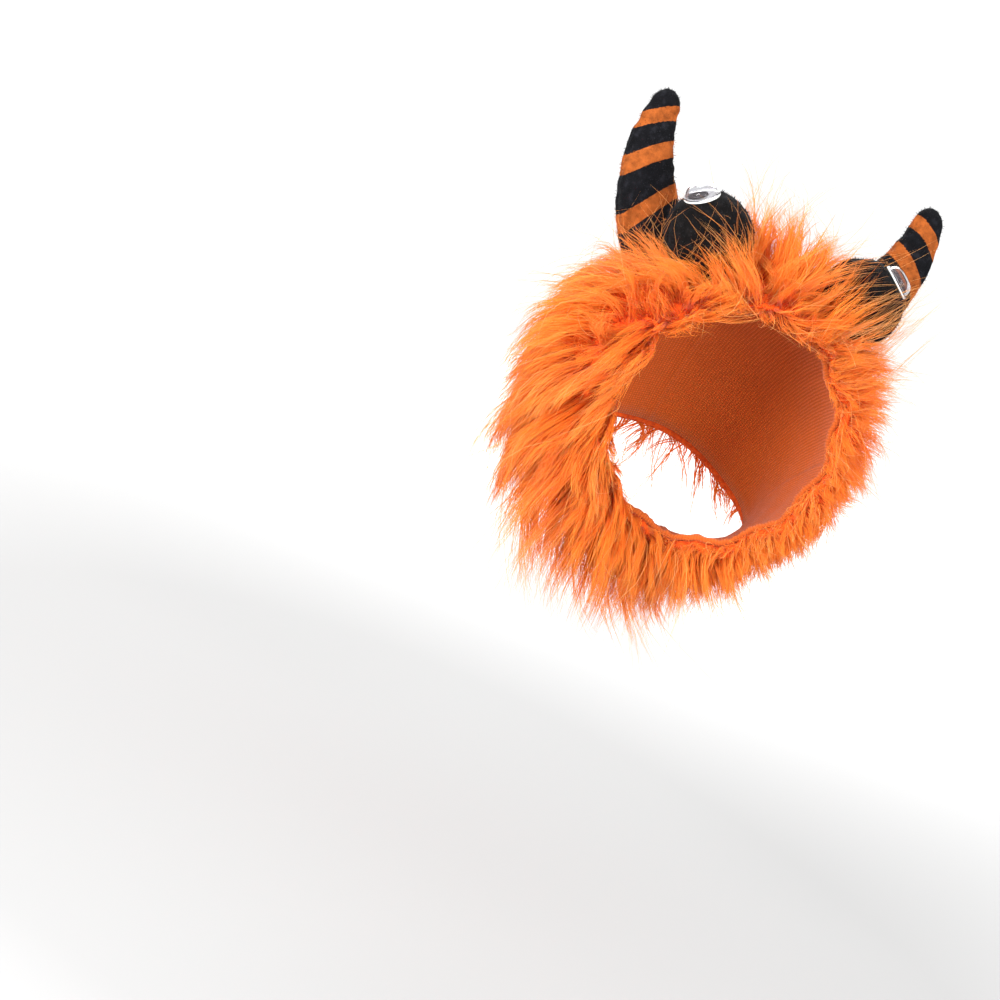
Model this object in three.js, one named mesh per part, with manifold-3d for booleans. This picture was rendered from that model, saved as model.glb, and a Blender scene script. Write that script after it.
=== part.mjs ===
// A small dog's costume hood: a pull-on cloth hood under a thick orange fur pile, two striped stuffed
// horns, and two stuffed black mounds that each carry a clear googly eye with a loose pupil.
// Units are millimetres. +Z is up, -Y is the way the face looks out, and +X is to the right seen from
// the front. The origin is where the top of the head meets the inside of the crown.
import * as THREE from "three";
import { mergeVertices } from "three/addons/utils/BufferGeometryUtils.js";
import Module from "manifold-3d";

const wasm = await Module();
wasm.setup();

// Hood cloth
const FACE_WIDTH = 112;
const FACE_HEIGHT = 118;
const HEAD_WIDTH = 138; // widest place inside, over the cheeks
const CROWN_RISE = 11; // how far the crown stands above the top of the face opening
const NECK_WIDTH = 108;
const NECK_DEPTH = 100;
const THROAT_REACH = 22; // from the bend's axis to the lower edge of the face opening
const NECK_THROAT_REACH = 27; // the same, at the neck opening
const NECK_TURN = 68; // degrees from the face opening's plane to the neck opening's
const CLOTH_WALL = 2.4;
const GATHER_COUNT = 12; // elastic gathers round the face opening
const GATHER_DEPTH = 1.6;
const NECK_WAVE_COUNT = 5; // slack waves round the neck opening
const NECK_WAVE_DEPTH = 2.6;

// Fur pile
const PILE_THICKNESS = 13; // the dense underfur
const PILE_EDGE_THICKNESS = 6; // the same, at the two openings
const PILE_OVERHANG = 5; // how far the pile stands past each edge of the cloth
const LOCK_LENGTH = 46;
const LOCK_WIDTH = 18;
const LOCK_THICKNESS = 7.5;
const LOCK_DROOP = 0.34; // how far a lock's tip falls, as a share of its length
const LOCK_SWAY = 0.42; // how far neighbouring locks part from each other sideways

// Horns
const HORN_LENGTH = 103; // along the middle line
const HORN_BASE_WIDTH = 39.5;
const HORN_TIP_WIDTH = 13.5;
const HORN_FULLNESS = 1.5; // 1 tapers straight, and more keeps its width further up
const HORN_FLATNESS = 0.78; // fore-and-aft thickness as a share of the width
const HORN_SEAT_TURN = 25.5; // degrees back from the face opening
const HORN_SEAT_AROUND = 60; // degrees round the hood, up from the side
const HORN_LEAN_AT_BASE = 57; // degrees outward from upright
const HORN_LEAN_AT_TIP = -8;
const HORN_LEAN_BACK = 11;

// Eye mounds
const MOUND_WIDTH = 43;
const MOUND_HEIGHT = 44;
const MOUND_SEAT_TURN = 9;
const MOUND_SEAT_AROUND = 62;
const MOUND_STANDS = 26.5; // middle of the mound above the inside of the hood

// Googly eyes
const EYE_WIDTH = 18;
const EYE_LEAN_OUT = 37; // degrees outward from upright
const EYE_LEAN_FORWARD = 5;
const EYE_BACK_THICKNESS = 0.8;
const DOME_WIDTH = 16;
const DOME_HEIGHT = 5.6;
const DOME_WALL = 0.6;
const PUPIL_WIDTH = 10;
const PUPIL_THICKNESS = 0.8;

// Clearances
const CLOTH_GAP = 0.3; // between layers that are sewn or glued face to face
const PILE_CLEARANCE = 0.6; // round what stands through the pile
const SEAT_OVERHANG = 8; // how far the seat's form runs on past each opening
const PUPIL_GAP = 0.4;
const EYE_GAP = 0.15; // between the googly eye's own thin layers
const EYE_VIEW = 30; // how far no lock stands in front of an eye

// Fineness
const HOOD_COLUMNS = 48;
const HOOD_ROWS = 9;
const ROUND_SIDES = 20;

const rad = THREE.MathUtils.degToRad;
const { lerp, smoothstep } = THREE.MathUtils;

// How the hood swells from the face opening over the head and narrows to the neck. along runs from 0 at
// the face opening to 1 at the neck opening, head is the share of the head's extra size, and neck is
// the share of the way from the face opening's size to the neck opening's.
const HOOD_SECTIONS = [
  { along: 0.0, head: 0.0, neck: 0.0 },
  { along: 0.08, head: 0.42, neck: 0.0 },
  { along: 0.2, head: 0.86, neck: 0.03 },
  { along: 0.38, head: 1.0, neck: 0.16 },
  { along: 0.58, head: 0.84, neck: 0.42 },
  { along: 0.8, head: 0.42, neck: 0.78 },
  { along: 1.0, head: 0.0, neck: 1.0 },
];

// How the pile lies. Each row is a ring of locks: along is its place from the face opening to the neck
// opening, count is how many locks it has, length is a share of LOCK_LENGTH, lift is how far they stand
// off the cloth, from 0 for combed flat to 1 for upright, and comb is which way they lie, from -1
// towards the face to 1 towards the neck.
const LOCK_RINGS = [
  { along: 0.04, count: 17, length: 0.75, lift: 0.75, comb: -0.3 },
  { along: 0.13, count: 18, length: 1.0, lift: 0.8, comb: 0.0 },
  { along: 0.28, count: 17, length: 1.0, lift: 0.65, comb: 0.35 },
  { along: 0.47, count: 15, length: 1.0, lift: 0.5, comb: 0.6 },
  { along: 0.68, count: 14, length: 1.0, lift: 0.42, comb: 0.7 },
  { along: 0.9, count: 14, length: 0.9, lift: 0.35, comb: 0.85 },
];

// A lock's width and thickness along it, as shares of their sizes, and the corners of its section.
const LOCK_TAPER = [
  { share: 0, size: 0.9 },
  { share: 0.5, size: 0.9 },
  { share: 1, size: 0 },
];
const LOCK_CORNERS = [
  { across: -0.5, out: -0.4 },
  { across: 0.5, out: -0.4 },
  { across: 0, out: 0.6 },
];

// How the fur differs round the hood. around is in degrees, from the wearer's left side over the crown to
// the right side and under the throat, fullness is a share of PILE_THICKNESS, and length is a share of
// LOCK_LENGTH.
const FUR_AROUND = [
  { around: 0, fullness: 1.0, length: 0.5 },
  { around: 45, fullness: 1.5, length: 0.85 },
  { around: 75, fullness: 1.75, length: 1.1 },
  { around: 105, fullness: 1.75, length: 1.1 },
  { around: 135, fullness: 1.5, length: 0.8 },
  { around: 180, fullness: 1.45, length: 0.68 },
  { around: 225, fullness: 1.55, length: 0.9 },
  { around: 255, fullness: 1.2, length: 0.7 },
  { around: 285, fullness: 0.85, length: 0.5 },
  { around: 315, fullness: 0.85, length: 0.42 },
  { around: 360, fullness: 1.0, length: 0.5 },
];

// A smooth curve through one column of a table, read against another.
function curveThrough(rows, place, column) {
  const places = rows.map((row) => row[place]);
  const values = rows.map((row) => row[column]);
  const curve = new THREE.CubicInterpolant(places, values, 1);
  return (at) => curve.evaluate(at)[0];
}

const headShare = curveThrough(HOOD_SECTIONS, "along", "head");
const neckShare = curveThrough(HOOD_SECTIONS, "along", "neck");
const furFullness = curveThrough(FUR_AROUND, "around", "fullness");
const furLength = curveThrough(FUR_AROUND, "around", "length");

// Numbers between 0 and 1 that look random and are the same on every run.
function scatterFrom(seed) {
  let state = seed;
  return () => {
    state = (state + 0x6d2b79f5) | 0;
    let mixed = Math.imul(state ^ (state >>> 15), 1 | state);
    mixed = (mixed + Math.imul(mixed ^ (mixed >>> 7), 61 | mixed)) ^ mixed;
    return ((mixed ^ (mixed >>> 14)) >>> 0) / 4294967296;
  };
}

// The hood's inner surface is a bent tube. Each section turns about an axis under the throat, and reaches
// from the throat to the crown.
function sectionAt(along) {
  const head = headShare(along);
  const neck = neckShare(along);
  const throat = lerp(THROAT_REACH, NECK_THROAT_REACH, neck);
  const faceCrown = THROAT_REACH + FACE_HEIGHT;
  const crown = lerp(faceCrown, NECK_THROAT_REACH + NECK_DEPTH, neck) + CROWN_RISE * head;
  const side = lerp(FACE_WIDTH, NECK_WIDTH, neck) / 2 + ((HEAD_WIDTH - FACE_WIDTH) / 2) * head;
  return { middle: (crown + throat) / 2, rise: (crown - throat) / 2, side };
}

function bentPoint(along, around) {
  const { middle, rise, side } = sectionAt(along);
  const turn = rad(NECK_TURN) * along;
  const gather = GATHER_DEPTH * Math.cos(GATHER_COUNT * around) * (1 - smoothstep(along, 0, 0.16));
  const wave = NECK_WAVE_DEPTH * Math.cos(NECK_WAVE_COUNT * around) * smoothstep(along, 0.7, 1);
  const reach = middle + (rise + gather + wave) * Math.sin(around);
  const across = (side + gather + wave) * Math.cos(around);
  return new THREE.Vector3(across, reach * Math.sin(turn), reach * Math.cos(turn));
}

// The bend's axis lies where it puts the highest inside point of the crown at the origin.
function findCrown() {
  const steps = 200;
  let crown = bentPoint(0, Math.PI / 2);
  for (let step = 1; step <= steps; step += 1) {
    const point = bentPoint(step / steps, Math.PI / 2);
    if (point.z > crown.z) crown = point;
  }
  return crown;
}
const BEND_AXIS = findCrown().negate();

const alongOfTurn = (degrees) => degrees / NECK_TURN;

// A point of the hood's inner surface, with its outward normal and the direction from face to neck.
function hoodAt(along, around) {
  const step = 1e-3;
  const point = bentPoint(along, around).add(BEND_AXIS);
  const back = bentPoint(along + step, around).sub(bentPoint(along - step, around)).normalize();
  const ahead = bentPoint(along, around + step).sub(bentPoint(along, around - step)).normalize();
  const normal = new THREE.Vector3().crossVectors(back, ahead).normalize();
  return { point, normal, back };
}

function offHood(along, around, offset, past = 0) {
  const { point, normal, back } = hoodAt(along, around);
  return point.addScaledVector(normal, offset).addScaledVector(back, past);
}

const middleOf = (points) =>
  points.reduce((sum, point) => sum.add(point), new THREE.Vector3()).divideScalar(points.length);

// A grid of points as a closed body. Rows close on themselves when loop is set, and otherwise the first
// and last rows are single points. Columns always close on themselves. Each face of the grid folds
// along the diagonal that stands further out, so that layers over one another fold alike.
function bodyOfRows(rows, loop) {
  const positions = [];
  const middles = rows.map(middleOf);
  const rowEnd = loop ? rows.length : rows.length - 1;
  for (let row = 0; row < rowEnd; row += 1) {
    const next = (row + 1) % rows.length;
    const middle = middles[row].clone().lerp(middles[next], 0.5);
    rows[row].forEach((point, column) => {
      const beside = (column + 1) % rows[row].length;
      const corners = [point, rows[row][beside], rows[next][beside], rows[next][column]];
      const reach = (one, other) => middleOf([corners[one], corners[other]]).distanceTo(middle);
      const order = reach(0, 2) > reach(1, 3) ? [0, 1, 2, 0, 2, 3] : [0, 1, 3, 1, 2, 3];
      for (const corner of order) positions.push(...corners[corner].toArray());
    });
  }
  return new THREE.BufferGeometry().setAttribute(
    "position",
    new THREE.Float32BufferAttribute(positions, 3),
  );
}

// A closed three.js geometry as a solid for cutting and joining, whichever way its faces were wound.
function solidOf(geometry) {
  const bare = new THREE.BufferGeometry().setAttribute("position", geometry.getAttribute("position"));
  if (geometry.index) bare.setIndex(geometry.index);
  const merged = mergeVertices(bare, 1e-3);
  const corners = merged.index.array;
  const triVerts = [];
  for (let i = 0; i < corners.length; i += 3) {
    const [a, b, c] = corners.subarray(i, i + 3);
    if (a !== b && b !== c && c !== a) triVerts.push(a, b, c);
  }
  const vertProperties = merged.getAttribute("position").array;
  const build = (triangles) =>
    new wasm.Manifold(
      new wasm.Mesh({ numProp: 3, vertProperties, triVerts: new Uint32Array(triangles) }),
    );
  const solid = build(triVerts);
  return solid.volume() > 0 ? solid : build(triVerts.reverse());
}

// The main body of a solid, without the loose ends that a cut leaves.
function mainBody(solid) {
  return solid.decompose().reduce((main, piece) => (piece.volume() > main.volume() ? piece : main));
}

function geometryOf(solid) {
  const mesh = solid.getMesh();
  const geometry = new THREE.BufferGeometry();
  geometry.setAttribute("position", new THREE.BufferAttribute(mesh.vertProperties, 3));
  geometry.setIndex(new THREE.BufferAttribute(mesh.triVerts, 1));
  geometry.computeVertexNormals();
  return geometry;
}

// One closed ring of points round the hood.
function hoodRow({ along, offsetAt, past = 0 }) {
  return Array.from({ length: HOOD_COLUMNS }, (_, column) => {
    const around = (column / HOOD_COLUMNS) * 2 * Math.PI;
    return offHood(along, around, offsetAt(along, around), past);
  });
}

// Rings from the face opening to the neck opening. Every layer has its rings at the same places, so the
// layers' flat facets lie parallel.
function hoodRows(offsetAt) {
  return Array.from({ length: HOOD_ROWS + 1 }, (_, row) => hoodRow({ along: row / HOOD_ROWS, offsetAt }));
}

function makeHoodCloth() {
  return solidOf(bodyOfRows([...hoodRows(() => 0), ...hoodRows(() => CLOTH_WALL).reverse()], true));
}

// The hood's outer form filled in and a little longer at both ends, for seating what is sewn onto it.
function filledHood(offset) {
  const offsetAt = () => offset;
  const rows = [
    hoodRow({ along: 0, offsetAt, past: -SEAT_OVERHANG }),
    ...hoodRows(offsetAt),
    hoodRow({ along: 1, offsetAt, past: SEAT_OVERHANG }),
  ];
  const capOf = (row) => row.map(() => middleOf(row));
  return solidOf(bodyOfRows([capOf(rows[0]), ...rows, capOf(rows.at(-1))], false));
}

const PILE_BASE = CLOTH_WALL + CLOTH_GAP;

// The bed's thickness: full over the head, and thin at the two openings.
function pileThickness(along, around) {
  const middle = Math.sin(Math.PI * Math.min(1, Math.max(0, along)));
  const degrees = (THREE.MathUtils.radToDeg(around) + 360) % 360;
  return lerp(PILE_EDGE_THICKNESS, PILE_THICKNESS * furFullness(degrees), Math.sqrt(middle));
}

function makePileBed() {
  const offsetAt = () => PILE_BASE + PILE_EDGE_THICKNESS * 0.5;
  const rows = [
    hoodRow({ along: 0, offsetAt, past: -PILE_OVERHANG }),
    ...hoodRows(() => PILE_BASE),
    hoodRow({ along: 1, offsetAt, past: PILE_OVERHANG }),
    ...hoodRows((along, around) => PILE_BASE + pileThickness(along, around)).reverse(),
  ];
  return solidOf(bodyOfRows(rows, true));
}

// One lock: a drooping, tapering wedge with a ridge along its outer face, from inside the bed to a point.
function makeLock(root, direction, wide, length) {
  const outer = new THREE.Vector3().crossVectors(direction, wide).normalize();
  const rings = LOCK_TAPER.map(({ share, size }) => {
    const centre = root.clone().addScaledVector(direction, length * share);
    centre.z -= length * LOCK_DROOP * share * share;
    return LOCK_CORNERS.map(({ across, out }) =>
      centre
        .clone()
        .addScaledVector(wide, across * LOCK_WIDTH * size)
        .addScaledVector(outer, out * LOCK_THICKNESS * size),
    );
  });
  const rootCap = rings[0].map(() => root.clone());
  return solidOf(bodyOfRows([rootCap, ...rings], false));
}

function makeLocks() {
  const scatter = scatterFrom(7);
  const spread = (amount) => (scatter() * 2 - 1) * amount;
  return LOCK_RINGS.flatMap((ring, index) =>
    Array.from({ length: ring.count }, (_, lock) => {
      const around = ((lock + (index % 2) / 2 + spread(0.22)) / ring.count) * 2 * Math.PI;
      const along = ring.along + spread(0.02);
      const { point, normal, back } = hoodAt(along, around);
      const side = new THREE.Vector3().crossVectors(normal, back).normalize();
      const direction = back
        .clone()
        .multiplyScalar(ring.comb)
        .addScaledVector(normal, ring.lift + 0.25)
        .addScaledVector(side, spread(LOCK_SWAY))
        .normalize();
      const degrees = (THREE.MathUtils.radToDeg(around) + 360) % 360;
      const length = LOCK_LENGTH * ring.length * furLength(degrees) * (1 + spread(0.14));
      const root = point.addScaledVector(normal, PILE_BASE + pileThickness(along, around) * 0.35);
      const wide = side.addScaledVector(direction, -side.dot(direction)).normalize();
      return makeLock(root, direction, wide, length);
    }),
  );
}

// Where a horn stands, and its middle line: an arc that starts leaning outward and ends upright.
function hornLine(side) {
  const seat = hoodAt(alongOfTurn(HORN_SEAT_TURN), rad(HORN_SEAT_AROUND)).point;
  const bend = rad(HORN_LEAN_AT_BASE - HORN_LEAN_AT_TIP);
  const radius = HORN_LENGTH / bend;
  const lean = (share) => rad(HORN_LEAN_AT_BASE) - bend * share;
  const at = (share) => {
    const out = radius * (Math.cos(lean(share)) - Math.cos(lean(0)));
    const up = radius * (Math.sin(lean(0)) - Math.sin(lean(share)));
    return new THREE.Vector3(
      side * (seat.x + out),
      seat.y + up * Math.sin(rad(HORN_LEAN_BACK)),
      seat.z + up * Math.cos(rad(HORN_LEAN_BACK)),
    );
  };
  return at;
}

function makeHorn(side, grow) {
  const at = hornLine(side);
  const steps = 9;
  const roundEnd = 0.1; // the share of the length over which the tip rounds off
  const rings = Array.from({ length: steps + 1 }, (_, step) => {
    const share = step / steps;
    const along = at(Math.min(1, share + 0.01)).sub(at(share - 0.01)).normalize();
    const across = new THREE.Vector3(side, 0, 0).addScaledVector(along, -along.x * side).normalize();
    const deep = new THREE.Vector3().crossVectors(along, across).normalize();
    const taper = lerp(HORN_BASE_WIDTH, HORN_TIP_WIDTH, Math.pow(share, HORN_FULLNESS)) / 2;
    const past = Math.max(0, (share - (1 - roundEnd)) / roundEnd);
    const width = taper * Math.sqrt(1 - 0.45 * past * past) + grow;
    const depth = taper * lerp(HORN_FLATNESS, 1, past) * Math.sqrt(1 - 0.45 * past * past) + grow;
    return Array.from({ length: 16 }, (_, corner) => {
      const turn = (corner / 16) * 2 * Math.PI;
      return at(share)
        .addScaledVector(across, width * Math.cos(turn))
        .addScaledVector(deep, depth * Math.sin(turn));
    });
  });
  const tipOut = at(1).sub(at(0.99)).normalize();
  const tip = at(1).addScaledVector(tipOut, HORN_TIP_WIDTH * 0.3 + grow);
  const foot = at(0);
  const capAt = (point) => rings[0].map(() => point.clone());
  return solidOf(bodyOfRows([capAt(foot), ...rings, capAt(tip)], false));
}

// The direction that a googly eye faces.
function eyeAxis(side) {
  const forward = rad(EYE_LEAN_FORWARD);
  const out = rad(EYE_LEAN_OUT);
  return new THREE.Vector3(
    side * Math.sin(out) * Math.cos(forward),
    -Math.sin(forward),
    Math.cos(out) * Math.cos(forward),
  );
}

function moundMiddle(side) {
  const { point, normal } = hoodAt(alongOfTurn(MOUND_SEAT_TURN), rad(MOUND_SEAT_AROUND));
  const middle = point.addScaledVector(normal, MOUND_STANDS);
  middle.x *= side;
  return middle;
}

// The frame of everything that turns with a googly eye: its origin is the middle of the mound, and its
// +Z is the way the eye faces. Its -Y is the downhill side.
function eyeFrame(side) {
  const axis = eyeAxis(side);
  const downhill = new THREE.Vector3(0, 0, -1).addScaledVector(axis, axis.z).normalize();
  const back = downhill.clone().negate();
  const across = new THREE.Vector3().crossVectors(back, axis);
  return new THREE.Matrix4().makeBasis(across, back, axis).setPosition(moundMiddle(side));
}

// The flat on the mound that the eye's back is glued to: as wide as the eye, where the mound's outline
// has that width.
const SEAT_HEIGHT =
  (MOUND_HEIGHT / 2) * Math.sqrt(1 - ((EYE_WIDTH + 2) / MOUND_WIDTH) ** 2);

function makeMound(side, grow) {
  const ball = new THREE.SphereGeometry(1, ROUND_SIDES, 12).rotateX(Math.PI / 2);
  ball.scale(MOUND_WIDTH / 2 + grow, MOUND_WIDTH / 2 + grow, MOUND_HEIGHT / 2 + grow);
  const above = new THREE.BoxGeometry(MOUND_WIDTH * 2, MOUND_WIDTH * 2, MOUND_HEIGHT);
  above.translate(0, 0, SEAT_HEIGHT + grow + MOUND_HEIGHT / 2);
  const flattened = solidOf(ball).subtract(solidOf(above));
  return flattened.transform(eyeFrame(side).toArray());
}

// Round pieces of the googly eye, about its own axis. z is 0 on the mound's flat.
// The room in front of an eye, which the fur leaves clear.
function makeEyeView(side) {
  const radius = EYE_WIDTH / 2 + PILE_CLEARANCE;
  const view = new THREE.CylinderGeometry(radius, radius, EYE_VIEW, ROUND_SIDES).rotateX(Math.PI / 2);
  view.translate(0, 0, SEAT_HEIGHT - PILE_CLEARANCE + EYE_VIEW / 2);
  return solidOf(view).transform(eyeFrame(side).toArray());
}

function makeEyeBack() {
  const disc = new THREE.CylinderGeometry(EYE_WIDTH / 2, EYE_WIDTH / 2, EYE_BACK_THICKNESS, ROUND_SIDES);
  return disc.rotateX(Math.PI / 2).translate(0, 0, EYE_GAP + EYE_BACK_THICKNESS / 2);
}

const DOME_FOOT = EYE_GAP + EYE_BACK_THICKNESS + EYE_GAP;

// A clear cap: a flat flange, an upright wall and a softly flattened top.
function makeEyeDome() {
  const bulge = 0.55; // below 1 gives the shouldered, flat-topped cap
  const steps = 5;
  const arc = (radius, height) =>
    Array.from({ length: steps + 1 }, (_, step) => {
      const turn = (step / steps) * (Math.PI / 2);
      const out = step === steps ? 0 : radius * Math.pow(Math.cos(turn), bulge);
      return new THREE.Vector2(out, height * Math.pow(Math.sin(turn), 0.9));
    });
  const inner = arc(DOME_WIDTH / 2 - DOME_WALL, DOME_HEIGHT - DOME_WALL);
  const outer = arc(DOME_WIDTH / 2, DOME_HEIGHT).slice(1).reverse();
  const flange = [
    new THREE.Vector2(DOME_WIDTH / 2, DOME_WALL),
    new THREE.Vector2(EYE_WIDTH / 2, DOME_WALL),
    new THREE.Vector2(EYE_WIDTH / 2, 0),
  ];
  const profile = [...inner, ...outer, ...flange, inner[0]].reverse();
  return new THREE.LatheGeometry(profile, ROUND_SIDES).rotateX(Math.PI / 2).translate(0, 0, DOME_FOOT);
}

const PUPIL_TRAVEL = DOME_WIDTH / 2 - DOME_WALL - PUPIL_GAP - PUPIL_WIDTH / 2;

// The pupil lies at the downhill side of its chamber.
function makePupil() {
  const disc = new THREE.CylinderGeometry(PUPIL_WIDTH / 2, PUPIL_WIDTH / 2, PUPIL_THICKNESS, 20);
  const height = EYE_GAP + EYE_BACK_THICKNESS + PUPIL_GAP + PUPIL_THICKNESS / 2;
  return disc.rotateX(Math.PI / 2).translate(0, -PUPIL_TRAVEL, height);
}

const MATERIALS = {
  cloth: new THREE.MeshStandardMaterial({ color: "#d9591c", roughness: 0.95, side: THREE.DoubleSide }),
  fur: new THREE.MeshStandardMaterial({ color: "#f46a1b", roughness: 0.85 }),
  horn: new THREE.MeshStandardMaterial({ color: "#1c1a1c", roughness: 0.95 }),
  mound: new THREE.MeshStandardMaterial({ color: "#141313", roughness: 0.9 }),
  eyeBack: new THREE.MeshStandardMaterial({ color: "#f4f3f1", roughness: 0.4 }),
  eyeDome: new THREE.MeshStandardMaterial({
    color: "#eef0f4",
    roughness: 0.05,
    transparent: true,
    opacity: 0.3,
  }),
  pupil: new THREE.MeshStandardMaterial({ color: "#131214", roughness: 0.35 }),
};

function place(group, name, geometry, material) {
  const mesh = new THREE.Mesh(geometry, material);
  mesh.name = name;
  group.add(mesh);
}

function buildHood() {
  const hood = new THREE.Group();
  const seat = filledHood(PILE_BASE);
  let pile = makeLocks().reduce((joined, lock) => joined.add(lock), makePileBed()).subtract(seat);

  for (const [sideName, side] of [["left", -1], ["right", 1]]) {
    const mound = makeMound(side, 0).subtract(seat);
    const horn = makeHorn(side, 0).subtract(seat).subtract(makeMound(side, CLOTH_GAP));
    pile = pile
      .subtract(makeMound(side, PILE_CLEARANCE))
      .subtract(makeHorn(side, PILE_CLEARANCE))
      .subtract(makeEyeView(side));
    place(hood, `horn_${sideName}`, geometryOf(horn), MATERIALS.horn);
    place(hood, `eye_mound_${sideName}`, geometryOf(mound), MATERIALS.mound);

    const eye = new THREE.Group();
    eye.applyMatrix4(eyeFrame(side).multiply(new THREE.Matrix4().makeTranslation(0, 0, SEAT_HEIGHT)));
    place(eye, `eye_back_${sideName}`, makeEyeBack(), MATERIALS.eyeBack);
    place(eye, `eye_dome_${sideName}`, makeEyeDome(), MATERIALS.eyeDome);
    place(eye, `pupil_${sideName}`, makePupil(), MATERIALS.pupil);
    hood.add(eye);
  }

  place(hood, "hood_cloth", geometryOf(makeHoodCloth()), MATERIALS.cloth);
  place(hood, "fur_pile", geometryOf(mainBody(pile)), MATERIALS.fur);
  return hood;
}

export default buildHood();
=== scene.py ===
"""Dresses a pull-on costume hood: long orange fur round a face opening, two striped plush horns, and two
black plush mounds that each carry a clear googly eye.

Everything is in metres, in the frame of the solid model. +Z is up, -Y is the way the face looks out, and
the origin is the highest inside point of the crown.
"""

import math

import bpy
import numpy as np
from bpy.props import FloatProperty, FloatVectorProperty, IntProperty, PointerProperty
from mathutils import Matrix, Vector


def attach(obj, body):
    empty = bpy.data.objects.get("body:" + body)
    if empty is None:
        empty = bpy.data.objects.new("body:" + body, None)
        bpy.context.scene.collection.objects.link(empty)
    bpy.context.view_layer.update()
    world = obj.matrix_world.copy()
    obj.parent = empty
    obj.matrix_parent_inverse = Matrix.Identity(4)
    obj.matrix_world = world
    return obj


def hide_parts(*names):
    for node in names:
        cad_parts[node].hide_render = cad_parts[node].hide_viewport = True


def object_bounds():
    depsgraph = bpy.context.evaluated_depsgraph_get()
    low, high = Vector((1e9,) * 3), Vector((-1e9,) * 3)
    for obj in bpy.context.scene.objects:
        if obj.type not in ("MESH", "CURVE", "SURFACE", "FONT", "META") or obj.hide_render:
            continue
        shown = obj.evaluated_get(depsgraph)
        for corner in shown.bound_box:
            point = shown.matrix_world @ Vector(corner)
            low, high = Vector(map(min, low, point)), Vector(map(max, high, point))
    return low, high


bl_info = {
    "name": "Costume hood",
    "version": (1, 0, 0),
    "blender": (4, 5, 0),
    "location": "View3D > Sidebar > Costume hood",
    "description": "Builds a furry costume hood with striped horns and googly eyes",
    "category": "Object",
}

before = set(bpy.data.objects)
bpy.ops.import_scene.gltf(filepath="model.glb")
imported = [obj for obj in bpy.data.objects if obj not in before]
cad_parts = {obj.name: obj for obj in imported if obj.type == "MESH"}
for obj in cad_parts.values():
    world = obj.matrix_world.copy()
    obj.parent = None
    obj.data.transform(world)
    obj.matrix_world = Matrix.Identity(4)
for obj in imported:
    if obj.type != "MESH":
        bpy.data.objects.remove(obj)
CAD_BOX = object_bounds()
MM = 0.001
SIDES = (("left", -1), ("right", 1))


# Sizes and colours that a user would change


def length(name, description, millimetres):
    return FloatProperty(
        name=name, description=description, default=millimetres * MM, unit="LENGTH", precision=4
    )


def turn(name, description, degrees):
    return FloatProperty(
        name=name, description=description, default=math.radians(degrees), subtype="ANGLE"
    )


def colour(name, description, value):
    return FloatVectorProperty(
        name=name, description=description, default=value, subtype="COLOR", min=0, max=1
    )


class HoodSizes(bpy.types.PropertyGroup):
    face_width: length("Face width", "Width of the face opening", 112)
    face_height: length("Face height", "Height of the face opening", 118)
    head_width: length("Head width", "Widest place inside the hood", 138)
    crown_rise: length("Crown rise", "How far the crown stands above the face opening", 11)
    neck_width: length("Neck width", "Width of the neck opening", 108)
    neck_depth: length("Neck depth", "Depth of the neck opening", 100)
    throat_reach: length("Throat reach", "Bend's axis to the lower edge of the face opening", 22)
    neck_throat_reach: length("Neck throat reach", "The same at the neck opening", 27)
    neck_turn: turn("Neck turn", "Angle between the face opening and the neck opening", 68)
    wall: length("Wall", "Thickness of the knitted backing", 2.4)
    cloth: colour("Backing", "Colour of the knitted backing", (0.7, 0.13, 0.012))


class FurSizes(bpy.types.PropertyGroup):
    strand_count: IntProperty(
        name="Strands", description="How many strands of fur there are", default=30000, min=100
    )
    strand_length: length("Strand length", "Length of the longest common strands", 50)
    strand_width: length("Strand width", "Thickness of a strand at its root", 0.48)
    underfur_thickness: length("Underfur", "Thickness of the dense underfur", 8)
    edge_thickness: length("Edge", "Thickness of the underfur at the openings", 5.5)
    # The root colour is darker than the middle: painted shade deep in the fur.
    shaded_root_colour: colour("Roots", "Colour deep in the fur", (1.0, 0.235, 0.016))
    middle_colour: colour("Middle", "Colour of the fur's surface", (1.0, 0.39, 0.045))
    # The pale tip colour is a painted glow of thin tips lit against the bright backdrop.
    lit_tip_colour: colour("Tips", "Colour of the tips", (1.0, 0.6, 0.25))


class HornSizes(bpy.types.PropertyGroup):
    horn_length: length("Length", "Length of a horn's middle line", 103)
    base_width: length("Base width", "Width of a horn at its base", 39.5)
    tip_width: length("Tip width", "Width of a horn at its tip", 13.5)
    black: colour("Charcoal", "Colour of the dark plush", (0.0045, 0.0045, 0.0058))
    orange: colour("Orange", "Colour of the bands", (0.25, 0.062, 0.012))


class EyeSizes(bpy.types.PropertyGroup):
    mound_width: length("Mound width", "Width of the mound under an eye", 43)
    mound_height: length("Mound height", "Height of the mound along the eye's axis", 44)
    eye_width: length("Eye width", "Width of the googly eye's flange", 18)
    dome_width: length("Cap width", "Width of the clear cap", 16)
    dome_height: length("Cap height", "Height of the clear cap", 5.6)
    pupil_width: length("Pupil width", "Width of the loose pupil", 10)
    plush: colour("Mound", "Colour of the mound's plush", (0.0035, 0.003, 0.003))


class StageSizes(bpy.types.PropertyGroup):
    azimuth: turn("Azimuth", "Camera's angle round the hood", -17.8)
    elevation: turn("Elevation", "Camera's angle above level", 9.75)
    roll: turn("Roll", "How far the hood tips to the right", 26.2)
    distance: length("Distance", "Camera to the face opening", 1400)
    frame_width: length("Frame width", "Width that the picture covers at the face opening", 490)
    floor_drop: length("Floor drop", "Floor below the crown", 340)
    # Painted shadow: the floor is painted this grey under the hood and fades to white further off.
    shadowed_floor: colour("Floor shadow", "Colour of the floor near the hood", (0.36, 0.36, 0.36))


def sizes(kind):
    return getattr(bpy.context.scene, "hood_" + kind)


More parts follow.
